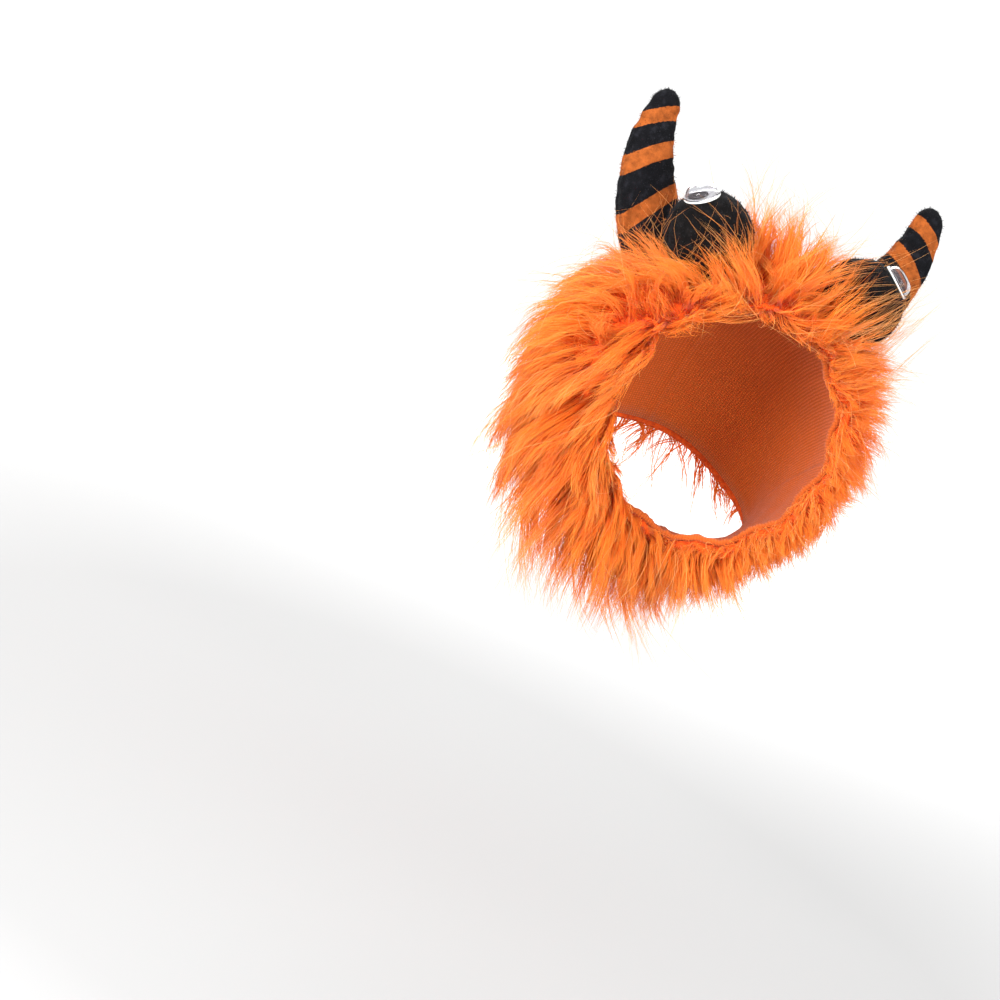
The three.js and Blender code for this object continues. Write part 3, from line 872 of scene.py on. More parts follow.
class FurForm:
    """The surface that the fur grows from, and the way that it lies."""

    def __init__(self, form, fur, obstacles):
        self.form = form
        self.fur = fur
        self.obstacles = obstacles
        self.base = form.hood.wall + CLOTH_GAP * MM
        self.down = -np.array(worn_axes()[1])
        self.low = np.array(CAD_BOX[0]) - PROUD * MM
        self.high = np.array(CAD_BOX[1]) + PROUD * MM

    def thickness(self, along):
        middle = np.sqrt(np.sin(math.pi * np.clip(along, 0, 1)))
        return mix(self.fur.edge_thickness, self.fur.underfur_thickness, middle)

    def surface(self, along, around):
        """Points on the underfur, their normals, and the outward and backward directions there."""
        on_hood = np.clip(along, 0, 1)
        point, outward, back = self.form.at(on_hood, around)
        rim = np.clip(-along, 0, RIM_REACH) / RIM_REACH * math.pi
        neck = np.clip(along - 1, 0, RIM_REACH) / RIM_REACH * math.pi
        edge = rim + neck
        height = self.base + self.thickness(on_hood) * (1 + np.cos(edge)) / 2
        past = OVERHANG * MM * (np.sin(neck) - np.sin(rim))
        swell = hood_swell(on_hood, around)
        place = point + outward * (height + swell)[..., None] + back * past[..., None]
        sign = np.where(along < 0.5, -1.0, 1.0)
        normal = unit(outward * np.cos(edge)[..., None] + back * (sign * np.sin(edge))[..., None])
        return place, normal, outward, back

    def lie(self, along, around):
        degrees = np.degrees(around) % 360
        values = {}
        for name in ("lift", "out", "back", "droop"):
            values[name] = straight_between(FUR_LIE, "along", name, along)
        for name in ("length", "turn", "part"):
            values[name] = straight_between(FUR_AROUND, "around", name, degrees)
        values["droop"] = values["droop"] * straight_between(FUR_AROUND, "around", "hang", degrees)
        return values

    def keep_clear(self, points):
        points = self.form.keep_out(points, self.base + CLEARANCE["cloth"] * MM)
        for obstacle in self.obstacles:
            points = obstacle.keep_out(points, CLEARANCE["pieces"] * MM)
        return points

    def ended_early(self, curves, scatter):
        """Curves of which most end where they meet a mound or a horn. A few go on over it."""
        even = np.linspace(0, 1, curves.shape[1])[None]
        fine = resampled(curves, MEETING_PLACES)
        end = np.ones(len(curves))
        for obstacle in self.obstacles:
            moved = obstacle.keep_out(fine, CLEARANCE["pieces"] * MM)
            met = np.linalg.norm(moved - fine, axis=2) > 1e-6
            first = np.where(met.any(axis=1), np.argmax(met, axis=1), MEETING_PLACES)
            end = np.minimum(end, first / (MEETING_PLACES - 1))
        goes_on = scatter.uniform(0, 1, len(curves)) < GOING_ON
        end = np.where(goes_on, 1.0, np.clip(end * 1.08, 0.15, 1.0))
        return sample_curve(curves, even * end[:, None])

    def off_the_eyes(self, curves, *values):
        """Strands without those that would run through a googly eye."""
        fine = resampled(curves, EYE_PLACES)
        clear = np.ones(len(curves), bool)
        for obstacle in self.obstacles:
            if isinstance(obstacle, EyeForm):
                clear &= ~obstacle.in_cap(fine).any(axis=1)
        return [rows[clear] for rows in (curves, *values)]

    def drawn_in(self, curves):
        """Curves shortened where they would stand too far outside the hood's own size."""
        root = curves[:, :1]
        reach = curves - root
        room = np.where(reach > 0, self.high - root, root - self.low)
        share = np.where(np.abs(reach) > 1e-6, room / np.maximum(np.abs(reach), 1e-6), 1.0)
        return root + reach * np.clip(share.min(axis=(1, 2)), 0.2, 1)[:, None, None]

    def grow(self, along, around, lengths, sway):
        """Curves from roots, bent by how the fur lies there. sway turns each one sideways and lifts it."""
        place, normal, outward, back = self.surface(along, around)
        lie = self.lie(along, around)
        beside = unit(np.cross(normal, back))
        start = unit(normal * (lie["lift"] + sway[:, 1])[:, None] + beside * (sway[:, 0] * 0.5)[:, None])
        sweep = outward * lie["out"][:, None] + back * lie["back"][:, None]
        sweep = sweep + beside * (lie["turn"] + sway[:, 0] * lie["part"] * 1.6)[:, None]
        curves = np.zeros((len(along), GUIDE_STEPS, 3))
        curves[:, 0] = place
        step_length = lengths / (GUIDE_STEPS - 1)
        for step in range(1, GUIDE_STEPS):
            t = step / (GUIDE_STEPS - 1)
            direction = start * (1.15 - t) + sweep * min(1.0, 0.35 + t)
            direction = direction + self.down * (lie["droop"] * (0.3 + 1.5 * t) * (1 + sway[:, 2]))[:, None]
            moved = curves[:, step - 1] + unit(direction) * step_length[:, None]
            curves[:, step] = self.keep_clear(moved)
        return curves

    def roots(self, count, scatter, low, high, arc=(0.0, 360.0)):
        """Places spread evenly over part of the fur, clear of what stands through it."""
        tries = count * 4
        along = scatter.uniform(low, high, tries)
        start, end = np.radians(arc)
        around = scatter.uniform(start, end, tries)
        middle, rise, side = self.form.section(np.clip(along, 0, 1))
        reach = middle + rise * np.sin(around)
        area = np.where(along < 0, 1.15, reach / (middle + rise)) * (side + rise)
        keep = scatter.uniform(0, 1, tries) < area / area.max()
        along, around = along[keep], around[keep]
        place = self.surface(along, around)[0]
        clear = np.ones(len(along), bool)
        for obstacle in self.obstacles:
            moved = obstacle.keep_out(place, CLEARANCE["roots"] * MM)
            clear &= np.linalg.norm(moved - place, axis=1) < 1e-6
        return along[clear][:count], around[clear][:count]


def nearest(points, centres):
    """The index of the centre nearest to each point."""
    found = np.zeros(len(points), int)
    for start in range(0, len(points), 4000):
        part = points[start : start + 4000]
        apart = ((part[:, None] - centres[None]) ** 2).sum(2)
        found[start : start + 4000] = np.argmin(apart, axis=1)
    return found


def sample_curve(curves, shares):
    """Points of each curve at its own shares of the way along it."""
    steps = curves.shape[1]
    place = np.clip(shares, 0, 1) * (steps - 1)
    low = np.minimum(place.astype(int), steps - 2)
    part = (place - low)[..., None]
    rows = np.arange(len(curves))[:, None]
    return curves[rows, low] * (1 - part) + curves[rows, low + 1] * part


def resampled(curves, steps):
    """The curves with another number of points, evenly apart."""
    return sample_curve(curves, np.repeat(np.linspace(0, 1, steps)[None], len(curves), axis=0))


class Mane:
    """Tufts made of locks, and the strands that follow them."""

    def __init__(self, fur_form, seed):
        self.fur_form = fur_form
        self.scatter = np.random.default_rng(seed)
        self.tufts = self.guides(TUFTS)
        self.locks = self.guides(LOCKS)
        closest = nearest(self.locks[:, 0], self.tufts[:, 0])
        t = np.linspace(0, 1, GUIDE_STEPS)[None, :, None]
        apart = self.locks[:, :1] - self.tufts[closest][:, :1]
        toward = self.tufts[closest] + apart * (1 - 0.35 * t)
        self.locks = self.locks + (toward - self.locks) * (0.6 * t)
        self.locks = fur_form.keep_clear(self.locks)
        tuft_shade = self.scatter.normal(0, 0.11, len(self.tufts))
        self.shade = self.scatter.normal(0, 0.1, len(self.locks)) + tuft_shade[closest]

    def guides(self, kind):
        """Curves over the whole hood, shorter inside the rim."""
        scatter = self.scatter
        along, around = self.fur_form.roots(kind["count"], scatter, -RIM_REACH, 1 + RIM_REACH * 0.6)
        lengths = self.fur_form.fur.strand_length * self.fur_form.lie(along, around)["length"]
        lengths = lengths * (1 + scatter.normal(0, kind["stretch"], len(along)))
        lengths = lengths * mix(0.35, 1.0, smoothstep(along, -RIM_REACH, -0.02))
        turns = scatter.normal(0, kind["sway"], (len(along), 3)) * [1.0, 0.35, 0.5]
        return self.fur_form.grow(along, around, lengths, turns)

    def tapered(self, width, t, power, count):
        """Widths that thin out towards the tips."""
        return width * (1 - 0.8 * t[..., 0] ** power) * self.scatter.uniform(0.7, 1.2, (count, 1))

    def strands(self, part, count, width):
        """The strands of one part of the mane, drawn together in locks."""
        scatter, steps = self.scatter, part["steps"]
        along, around = self.fur_form.roots(count, scatter, *part["along"], part["arc"])
        place, normal, _, _ = self.fur_form.surface(along, around)
        place = place - normal * 1.0 * MM
        closest = nearest(place, self.locks[:, 0])
        ends = scatter.uniform(0.5, 1.0, len(along))
        even = np.linspace(0, 1, steps)[None]
        shares = even * ends[:, None]
        guide = sample_curve(self.locks[closest], shares)
        apart = (place - self.locks[closest][:, 0])[:, None]
        gather = (shares**0.9)[..., None] * scatter.uniform(0.05, 0.85, len(along))[:, None, None]
        curves = guide + apart * (1 - gather)
        strays = scatter.uniform(0, 1, len(along)) < STRAYS["share"]
        drift = np.where(strays, STRAYS["drift"], STRAYS["others"])[:, None, None]
        drift = scatter.normal(0, 1, (len(along), 1, 3)) * drift
        wave = scatter.uniform(0, 2 * math.pi, (len(along), 1, 3)) + shares[..., None] * 8
        curves = curves + (drift * (shares**1.5)[..., None] + 0.45 * np.sin(wave)) * MM
        curves = self.fur_form.ended_early(curves, scatter)
        curves = self.fur_form.keep_clear(self.fur_form.drawn_in(curves))
        curves[:, 0] = place
        taper = 1 - 0.82 * even**1.5
        thickness = width * scatter.uniform(0.65, 1.2, (len(along), 1))
        thickness = thickness * np.where(strays, STRAYS["width"], 1)[:, None]
        tones = shares + scatter.normal(0, 0.04, shares.shape)
        shades = 0.45 + self.shade[closest] + scatter.normal(0, 0.2, len(along))
        return curves, thickness * taper, np.clip(tones, 0, 1), np.clip(shades, 0, 1)

    def wisps(self, width):
        """Longer hairs in thin bunches, which stand out beyond the rest."""
        scatter, count = self.scatter, WISPS["count"]
        bunches = scatter.choice(len(self.locks), WISPS["bunches"], replace=False)
        chosen = bunches[scatter.integers(0, len(bunches), count)]
        single = scatter.uniform(0, 1, count) < WISPS["single"]
        chosen = np.where(single, scatter.integers(0, len(self.locks), count), chosen)
        t = np.linspace(0, 1, 7)[None, :, None]
        guide = sample_curve(self.locks[chosen], np.repeat(t[..., 0], count, axis=0))
        root = guide[:, :1]
        reach = scatter.uniform(WISPS["short"], WISPS["long"], (count, 1, 1))
        spread = scatter.normal(0, 1.3, (count, 1, 3)) * (1 - 0.7 * t)
        bunch_drift = np.zeros((len(self.locks), 1, 3))
        bunch_drift[bunches] = scatter.normal(0, 5, (len(bunches), 1, 3))
        drift = (bunch_drift[chosen] + scatter.normal(0, 2.5, (count, 1, 3))) * t**2
        curl = scatter.normal(0, 22, (count, 1, 3)) * single[:, None, None] * t * (t - 0.6)
        curves = root + (guide - root) * reach + (spread + drift + curl) * MM
        curves = self.fur_form.keep_clear(self.fur_form.drawn_in(curves))
        widths = self.tapered(width, t, 1.3, count)
        # Single stray hairs are painted paler, further towards the tip colour's painted glow.
        tones = np.clip(0.2 + 0.8 * t[..., 0] + 0.4 * single[:, None], 0, 1)
        return curves, widths, tones, np.clip(scatter.uniform(0.4, 1, count) + 0.3 * single, 0, 1)

    def crossing(self, obstacle, row, width):
        """Hairs that lie over a mound or a horn, singly or in thin bunches."""
        scatter = self.scatter
        count, bunches = row["count"], row["bunches"]
        roots = self.locks[:, 0]
        moved = obstacle.keep_out(roots, row["from"] * MM)
        close = np.flatnonzero(np.linalg.norm(moved - roots, axis=1) > 0)
        bunch = np.arange(count) % bunches
        chosen = roots[scatter.choice(close, bunches)] + scatter.normal(0, 2, (bunches, 3)) * MM
        across = unit(obstacle.crossing_middle() - chosen + scatter.normal(0, 9, (bunches, 3)) * MM)
        lengths = scatter.uniform(row["short"], row["long"], bunches)[:, None] * MM
        lift = obstacle.crossing_lift() * scatter.uniform(0.1, 0.75, (bunches, 1))
        curl = unit(scatter.normal(0, 1, (bunches, 3))) * scatter.uniform(4, 13, (bunches, 1)) * MM
        right, up, _ = worn_axes()
        sweep = unit(np.array(right) + np.array(up) * 0.35) * row["sweep"]
        path = (unit(across + lift + sweep) * lengths)[bunch]
        path = path * scatter.uniform(0.75, 1.1, (count, 1)) + scatter.normal(0, 1.6, (count, 3)) * MM
        t = np.linspace(0, 1, 7)[None, :, None]
        start = chosen[bunch] + scatter.normal(0, 1.1, (count, 3)) * MM
        curves = start[:, None] + path[:, None] * t + curl[bunch][:, None] * t * (t - 0.4)
        margins = scatter.uniform(0.8, 3.5, bunches)[bunch]
        for margin in (1.3, 2.2, 3.1):
            some = np.abs(margins - margin) < 0.5
            curves[some] = obstacle.keep_out(curves[some], margin * MM)
        curves = self.fur_form.drawn_in(curves)
        widths = self.tapered(width, t, 1.5, count)
        tones = np.clip(row["pale"] + 0.65 * t[..., 0] + np.zeros((count, 1)), 0, 1)
        return curves, widths, tones, np.clip(scatter.normal(row["pale"], 0.15, count), 0, 1)


# The mane's parts: where each lies along and round the hood, its share of the strands, how thick its
# strands are as a share of the strand width, and how many points a strand has.
FUR_PARTS = table(
    "name along arc share width steps",
    ("rim_left", (-0.12, 0.04), (120, 290), 0.13, 0.85, 4),
    ("rim_right", (-0.12, 0.04), (-70, 120), 0.13, 0.85, 4),
    ("crown", (0.0, 0.42), (35, 145), 0.18, 0.9, 6),
    ("left", (0.0, 0.7), (145, 235), 0.18, 0.9, 6),
    ("throat", (0.0, 1.07), (235, 325), 0.13, 0.9, 5),
    ("right", (0.0, 0.7), (325, 395), 0.11, 0.9, 5),
    ("back", (0.42, 1.07), (-35, 215), 0.125, 1.7, 5),
)

# Hairs that lie over the mounds and the horns: how many, in how many bunches, how far off their roots
# are and how long they are, in mm, how strongly they sweep to the right as the hood is worn, and how
# pale they are.
CROSSING_HAIRS = table(
    "over side count bunches from short long sweep pale",
    ("mound", "left", 170, 140, 14, 20, 48, 0.1, 0.45),
    ("mound", "right", 220, 44, 18, 32, 64, 1.8, 0.8),
    ("horn", "left", 110, 80, 16, 26, 54, 0.0, 0.45),
    ("horn", "right", 120, 34, 32, 40, 78, 1.4, 0.8),
)

# The longest hairs: how many, in how many bunches, the share that stray singly, and their length as a
# share of their lock's.
WISPS = {"count": 2300, "bunches": 230, "single": 0.4, "short": 1.05, "long": 1.5}


def worn_axes():
    """Right, up and towards the viewer, as the hood is worn: tipped to one side and turned."""
    stage = sizes("stage")
    a, e, r = stage.azimuth, stage.elevation, stage.roll
    back = Vector((math.sin(a) * math.cos(e), -math.cos(a) * math.cos(e), math.sin(e)))
    level = Vector((math.cos(a), math.sin(a), 0))
    upright = back.cross(level)
    right = level * math.cos(r) + upright * math.sin(r)
    up = upright * math.cos(r) - level * math.sin(r)
    return right, up, back


def obstacles_of(form):
    horns = [HornForm(form, sizes("horn"), side) for _, side in SIDES]
    mounds = [EyeForm(form, sizes("eye"), side) for _, side in SIDES]
    return horns + mounds


# The underfur's rings, round and along, and how many of them line the cloth.
UNDERFUR_GRID = (200, 70)
LINING_ROWS = 14


class HOOD_OT_underfur(bpy.types.Operator):
    """Adds the dense underfur that the strands grow out of"""

    bl_idname = "hood.underfur"
    bl_label = "Underfur"

    def execute(self, context):
        form = HoodForm(sizes("knit"))
        fur_form = FurForm(form, sizes("fur"), obstacles_of(form))
        rows = UNDERFUR_GRID[1]

        def points_at(around_share, outline):
            around = around_share * 2 * math.pi
            row = np.rint(outline * rows)
            along_inside = np.clip(row / (LINING_ROWS - 1), 0, 1)
            share_outside = (row - LINING_ROWS) / (rows - 1 - LINING_ROWS)
            along_outside = 1 + RIM_REACH - share_outside * (1 + 2 * RIM_REACH)
            outside = fur_form.surface(along_outside, around)[0]
            point, normal, _ = form.at(along_inside, around)
            inside = point + normal * (fur_form.base + hood_swell(along_inside, around))[:, None]
            return np.where((row < LINING_ROWS)[:, None], inside, outside)

        obj = ring_wall("underfur", UNDERFUR_GRID, points_at)
        finish_piece(obj, underfur_material(sizes("fur")), ["fur_pile"])
        return {"FINISHED"}


class HOOD_OT_fur(bpy.types.Operator):
    """Adds the long fur, strand by strand, with its stray and crossing hairs"""

    bl_idname = "hood.fur"
    bl_label = "Long fur"

    def execute(self, context):
        form = HoodForm(sizes("knit"))
        fur = sizes("fur")
        obstacles = obstacles_of(form)
        fur_form = FurForm(form, fur, obstacles)
        mane = Mane(fur_form, seed=11)
        material = fur_material(fur)
        for part in FUR_PARTS:
            count = int(fur.strand_count * part["share"])
            strands = mane.strands(part, count, fur.strand_width * part["width"])
            obj = strands_object("fur_" + part["name"], *fur_form.off_the_eyes(*strands))
            finish_piece(obj, material, ["fur_pile"])
        wisps = mane.wisps(fur.strand_width * 0.6)
        obj = strands_object("fur_wisps", *fur_form.off_the_eyes(*wisps))
        finish_piece(obj, material, ["fur_pile"])
        standing = dict(zip(("horn left", "horn right", "mound left", "mound right"), obstacles))
        for row in CROSSING_HAIRS:
            obstacle = standing[row["over"] + " " + row["side"]]
            hairs = mane.crossing(obstacle, row, fur.strand_width * 0.42)
            name = "hairs_over_" + row["over"] + "_" + row["side"]
            obj = strands_object(name, *fur_form.off_the_eyes(*hairs))
            finish_piece(obj, material)
        return {"FINISHED"}


# The horns

# Where the orange bands cross a horn, as shares of its length from base to tip. slant is how much
# further down the band sits on the outer side than on the inner side.
HORN_BANDS = table(
    "low high slant",
    (0.15, 0.235, 0.075),
    (0.393, 0.474, 0.07),
    (0.626, 0.7155, 0.06),
    (0.828, 0.908, 0.05),
)

# How much a band bows, as a share of the horn's length, then how soft its edges are.
BAND_BOW = 0.012
BAND_EDGE = 0.006

# The horn's grid, the room that its filling takes up, in mm, and the seam's half width as a share of
# the horn's.
HORN_COLUMNS = 48
HORN_ROWS = 80
HORN_SLACK = 0.6
SEAM_HALF_WIDTH = 0.14


def horn_stripes(share, across):
    """1 on a band and 0 between bands, with soft edges. across is 1 at the horn's outer side."""
    value = np.zeros_like(share)
    for band in HORN_BANDS:
        shift = share + band["slant"] * across + BAND_BOW * across**2
        inside = smoothstep(shift, band["low"] - BAND_EDGE, band["low"] + BAND_EDGE)
        inside = inside * (1 - smoothstep(shift, band["high"] - BAND_EDGE, band["high"] + BAND_EDGE))
        value = np.maximum(value, inside)
    return value


# The plush's nap: how many hairs stand on a horn and on a mound, and their size in mm.
NAP = {"horn": 4200, "mound": 3400, "height": 1.2, "width": 0.32}


def fuzz_on(name, points, normals, stripes, scatter, count):
    """Short stubble of plush over a surface, as one mesh."""
    chosen = scatter.choice(len(points), count)
    start = points[chosen] + scatter.normal(0, 0.35 * MM, (count, 3))
    tilt = unit(normals[chosen] + scatter.normal(0, 0.45, (count, 3)))
    lengths = NAP["height"] * MM * scatter.uniform(0.5, 1.2, count)[:, None]
    curves = np.stack([start - normals[chosen] * 0.4 * MM, start + tilt * lengths], axis=1)
    widths = np.tile([1, 0.3], (count, 1)) * NAP["width"] * MM
    obj = strands_object(name, curves, widths, np.tile([0.0, 1.0], (count, 1)), scatter.uniform(0, 1, count))
    add_value(obj, "stripe", np.repeat(stripes[chosen], 4))
    return obj


class HOOD_OT_horns(bpy.types.Operator):
    """Adds the two stuffed horns with their bands, side seams and short nap"""

    bl_idname = "hood.horns"
    bl_label = "Striped horns"

    def execute(self, context):
        form = HoodForm(sizes("knit"))
        horn = sizes("horn")
        material = plush_material("horn_plush", horn.black, horn.orange)
        for side_name, side in SIDES:
            self.add_horn(HornForm(form, horn, side), side_name, material)
        return {"FINISHED"}

    def add_horn(self, horn_form, side_name, material):
        grid = {"segments": HORN_COLUMNS, "ring_count": HORN_ROWS}
        obj = primitive(bpy.ops.mesh.primitive_uv_sphere_add, "plush_horn_" + side_name, radius=1, **grid)
        ball = read_points(obj)
        height = np.clip(ball[:, 2], -1, 1)
        share = 0.06 + 0.94 * (np.arcsin(height) / math.pi + 0.5)
        turn = np.arctan2(ball[:, 1], ball[:, 0])
        middle = horn_form.middle(share)
        _, across, deep = horn_form.axes(share)
        half = horn_form.half_width(share) - HORN_SLACK * MM
        tip = np.clip((share - 0.9) / 0.1, 0, 1)
        foot = np.clip((0.12 - share) / 0.06, 0, 1)
        rounding = np.sqrt(np.clip(1 - tip**3, 0, 1)) * np.sqrt(np.clip(1 - foot**2, 0, 1))
        wide = half * rounding * np.cos(turn)
        thick = half * mix(HORN_FLATNESS, 1.0, tip) * rounding * np.sin(turn)
        place_points(obj, middle + across * wide[:, None] + deep * thick[:, None])
        face_outwards(obj)

        def held(points):
            share, across_share, deep_share = horn_form.read(points)
            seam = (np.abs(deep_share) < SEAM_HALF_WIDTH) & (np.abs(across_share) > 0.6)
            return seam | (share < 0.13) | (share > 0.97)

        stuffed(obj, 2.0 * MM, held, 1.6 * MM)
        self.sew_sides(obj, horn_form)
        share, across_share, _ = horn_form.read(read_points(obj))
        stripes = horn_stripes(share, np.clip(across_share, -1, 1))
        add_value(obj, "stripe", stripes)
        scatter = np.random.default_rng(23 + horn_form.side)
        surface, normals = read_points(obj), read_points(obj, "normal")
        nap = fuzz_on("horn_nap_" + side_name, surface, normals, stripes, scatter, NAP["horn"])
        finish_piece(obj, material, ["horn_" + side_name])
        finish_piece(nap, material)

    def sew_sides(self, obj, horn_form):
        """Draws the two side seams in, with a pucker at each stitch."""
        points = read_points(obj)
        share, _, deep_share = horn_form.read(points)
        crease = np.exp(-((deep_share / 0.07) ** 2))
        crease = crease * np.clip((share - 0.1) * 8, 0, 1) * np.clip((1 - share) * 8, 0, 1)
        stitch = 0.7 + 0.3 * np.sin(share * 160)
        pucker = np.exp(-((deep_share / 0.28) ** 2)) * np.sin(share * 80) * 0.25
        inward = unit(horn_form.middle(share) - points)
        place_points(obj, points + inward * ((crease * stitch * 0.8 + pucker) * MM)[:, None])


# The mounds and the googly eyes

# The room that a mound's filling takes up, in mm.
MOUND_SLACK = 0.5


class HOOD_OT_mounds(bpy.types.Operator):
    """Adds the two stuffed mounds that carry the eyes"""

    bl_idname = "hood.mounds"
    bl_label = "Eye mounds"

    def execute(self, context):
        form = HoodForm(sizes("knit"))
        eye = sizes("eye")
        material = plush_material("mound_plush", eye.plush)
        for side_name, side in SIDES:
            self.add_mound(EyeForm(form, eye, side), eye, side_name, material)
        return {"FINISHED"}

    def add_mound(self, eye_form, eye, side_name, material):
        grid = {"segments": 72, "ring_count": 54}
        obj = primitive(bpy.ops.mesh.primitive_uv_sphere_add, "plush_mound_" + side_name, radius=1, **grid)
        ball = read_points(obj)
        turn = np.arctan2(ball[:, 1], ball[:, 0])
        lumps = 0.012 * np.sin(3 * turn + 4 * ball[:, 2]) + 0.01 * np.sin(5 * turn - 3 * ball[:, 2])
        half = np.array([eye.mound_width, eye.mound_width, eye.mound_height]) / 2 - MOUND_SLACK * MM
        points = ball * (1 + lumps)[:, None] * half
        level = eye_form.seat_height - 0.2 * MM
        points[:, 2] = np.minimum(points[:, 2], level)
        place_points(obj, points)
        obj.data.transform(eye_form.matrix())
        face_outwards(obj)

        def local(points):
            away = points - eye_form.middle
            return away @ eye_form.across, away @ eye_form.back, away @ eye_form.axis

        def held(points):
            x, y, z = local(points)
            seam = (np.abs(y) < 0.9 * MM) | (np.abs(x) < 0.9 * MM)
            return (z > level - 1.2 * MM) | (seam & (z < level * 0.6))

        stuffed(obj, 1.8 * MM, held, 1.4 * MM)
        surface = read_points(obj)
        x, y, z = local(surface)
        near_seam = np.minimum(np.abs(x), np.abs(y))
        crease = np.exp(-((near_seam / (0.9 * MM)) ** 2)) * smoothstep(-z, -level * 0.8, -level * 0.4)
        inward = unit(eye_form.middle - surface)
        surface = surface + inward * (crease * 0.7 * MM)[:, None]
        place_points(obj, surface)
        normals = read_points(obj, "normal")
        scatter = np.random.default_rng(31 + eye_form.side)
        clear = z < level - 0.6 * MM
        nothing = np.zeros(clear.sum())
        name = "mound_nap_" + side_name
        nap = fuzz_on(name, surface[clear], normals[clear], nothing, scatter, NAP["mound"])
        finish_piece(obj, material, ["eye_mound_" + side_name])
        finish_piece(nap, material)


# The googly eye's layers and gaps, in mm, how full its cap is, and its steps round.
EYE_GAP = 0.15
EYE_BACK_THICKNESS = 0.8
DOME_WALL = 0.6
PUPIL_SIDE_GAP = 0.45
PUPIL_GAP = 0.4
PUPIL_THICKNESS = 0.8
DOME_BULGE = 0.55
ROUND_STEPS = 72


def turned(name, profile, matrix):
    """A closed round piece, spun from an outline of (distance from the axis, height) points in order."""
    obj = primitive(bpy.ops.mesh.primitive_circle_add, name, vertices=len(profile), radius=1)
    place_points(obj, np.array([(out, 0.0, height) for out, height in profile]))
    only(obj)
    bpy.ops.object.mode_set(mode="EDIT")
    bpy.ops.mesh.select_all(action="SELECT")
    bpy.ops.mesh.spin(steps=ROUND_STEPS, angle=2 * math.pi, center=(0, 0, 0), axis=(0, 0, 1))
    bpy.ops.object.mode_set(mode="OBJECT")
    face_outwards(obj)
    bpy.ops.object.shade_smooth_by_angle(angle=math.radians(40))
    obj.data.transform(matrix)
    return obj


def disc_outline(radius, low, high, round_off):
    """The outline of a flat disc with softened edges."""
    turns = np.linspace(0, math.pi / 2, 5)
    corner = [(radius - round_off * (1 - math.cos(a)), math.sin(a) * round_off) for a in turns]
    upper = [(out, high - round_off + rise) for out, rise in corner]
    lower = [(out, low + round_off - rise) for out, rise in reversed(corner)]
    return [(0.0, low)] + lower + upper + [(0.0, high)]


def dome_outline(eye, foot):
    """The clear cap: inside, then outside, then its flange."""
    def arc(radius, height):
        turns = np.linspace(0, math.pi / 2, 15)
        out = radius * np.power(np.maximum(np.cos(turns), 0), DOME_BULGE)
        out[-1] = 0
        return [(o, foot + height * math.sin(t) ** 0.9) for o, t in zip(out, turns)]

    wall = DOME_WALL * MM
    inner = arc(eye.dome_width / 2 - wall, eye.dome_height - wall)
    outer = arc(eye.dome_width / 2, eye.dome_height)[1:][::-1]
    flange = [
        (eye.dome_width / 2 + 0.1 * MM, foot + wall + 0.1 * MM),
        (eye.eye_width / 2 - 0.15 * MM, foot + wall),
        (eye.eye_width / 2, foot + wall - 0.15 * MM),
        (eye.eye_width / 2, foot),
    ]
    outer = [point for point in outer if point[1] > foot + wall + 0.3 * MM]
    return inner + outer + flange


class HOOD_OT_eyes(bpy.types.Operator):
    """Adds the googly eyes: white back, clear cap and loose black pupil"""

    bl_idname = "hood.eyes"
    bl_label = "Googly eyes"

    def execute(self, context):
        form = HoodForm(sizes("knit"))
        eye = sizes("eye")
        white = plain_material("eye_white", (0.7, 0.7, 0.69), 0.5, 0.2, 0.03)
        black = plain_material("pupil_black", (0.012, 0.012, 0.013), 0.7, 0.05, 0.004)
        clear = clear_material()
        for side_name, side in SIDES:
            eye_form = EyeForm(form, eye, side)
            matrix = eye_form.matrix(eye_form.seat_height)
            low = EYE_GAP * MM
            high = low + EYE_BACK_THICKNESS * MM
            outline = disc_outline(eye.eye_width / 2, low, high, 0.2 * MM)
            back = turned("eye_disc_" + side_name, outline, matrix)
            finish_piece(back, white, ["eye_back_" + side_name])
            cap = turned("clear_cap_" + side_name, dome_outline(eye, high + EYE_GAP * MM), matrix)
            axis = np.array(matrix.col[2].xyz)
            from_middle = read_points(cap) - np.array(matrix.translation)
            rise = from_middle @ axis
            out = np.linalg.norm(from_middle - rise[:, None] * axis, axis=1)
            # How much dark grey is painted on the cap: on its rim, and half as much on its flange, as
            # painted shade of the clear wall's edge.
            edge = smoothstep(out, 0.34 * eye.dome_width, 0.48 * eye.dome_width)
            add_value(cap, "painted_rim", edge * np.where(rise > high + DOME_WALL * MM, 1.0, 0.5))
            finish_piece(cap, clear, ["eye_dome_" + side_name])
            floor = high + PUPIL_GAP * MM
            outline = disc_outline(eye.pupil_width / 2, floor, floor + PUPIL_THICKNESS * MM, 0.2 * MM)
            travel = eye.dome_width / 2 - (DOME_WALL + PUPIL_SIDE_GAP) * MM - eye.pupil_width / 2
            downhill = matrix @ Matrix.Translation((0, -travel, 0))
            pupil = turned("loose_pupil_" + side_name + "_disc", outline, downhill)
            finish_piece(pupil, black, ["pupil_" + side_name], "loose_pupil_" + side_name)
        return {"FINISHED"}


# The stage


PICTURE_WIDTH = 1000

# Where the middle of the face opening is in the picture, in its pixels.
FACE_IN_PICTURE = (720, 425.7)

# The lights stand off the camera or off the face opening, in metres as the hood is worn.
LIGHTS = table(
    "name stands right up back size power",
    ("key", "camera", -0.8, 0.6, 0.0, 0.9, 46),
    ("fill", "camera", 1.0, -0.2, 0.0, 1.2, 30),
    ("rim", "face", 0.0, 0.8, -1.1, 1.0, 16),
)


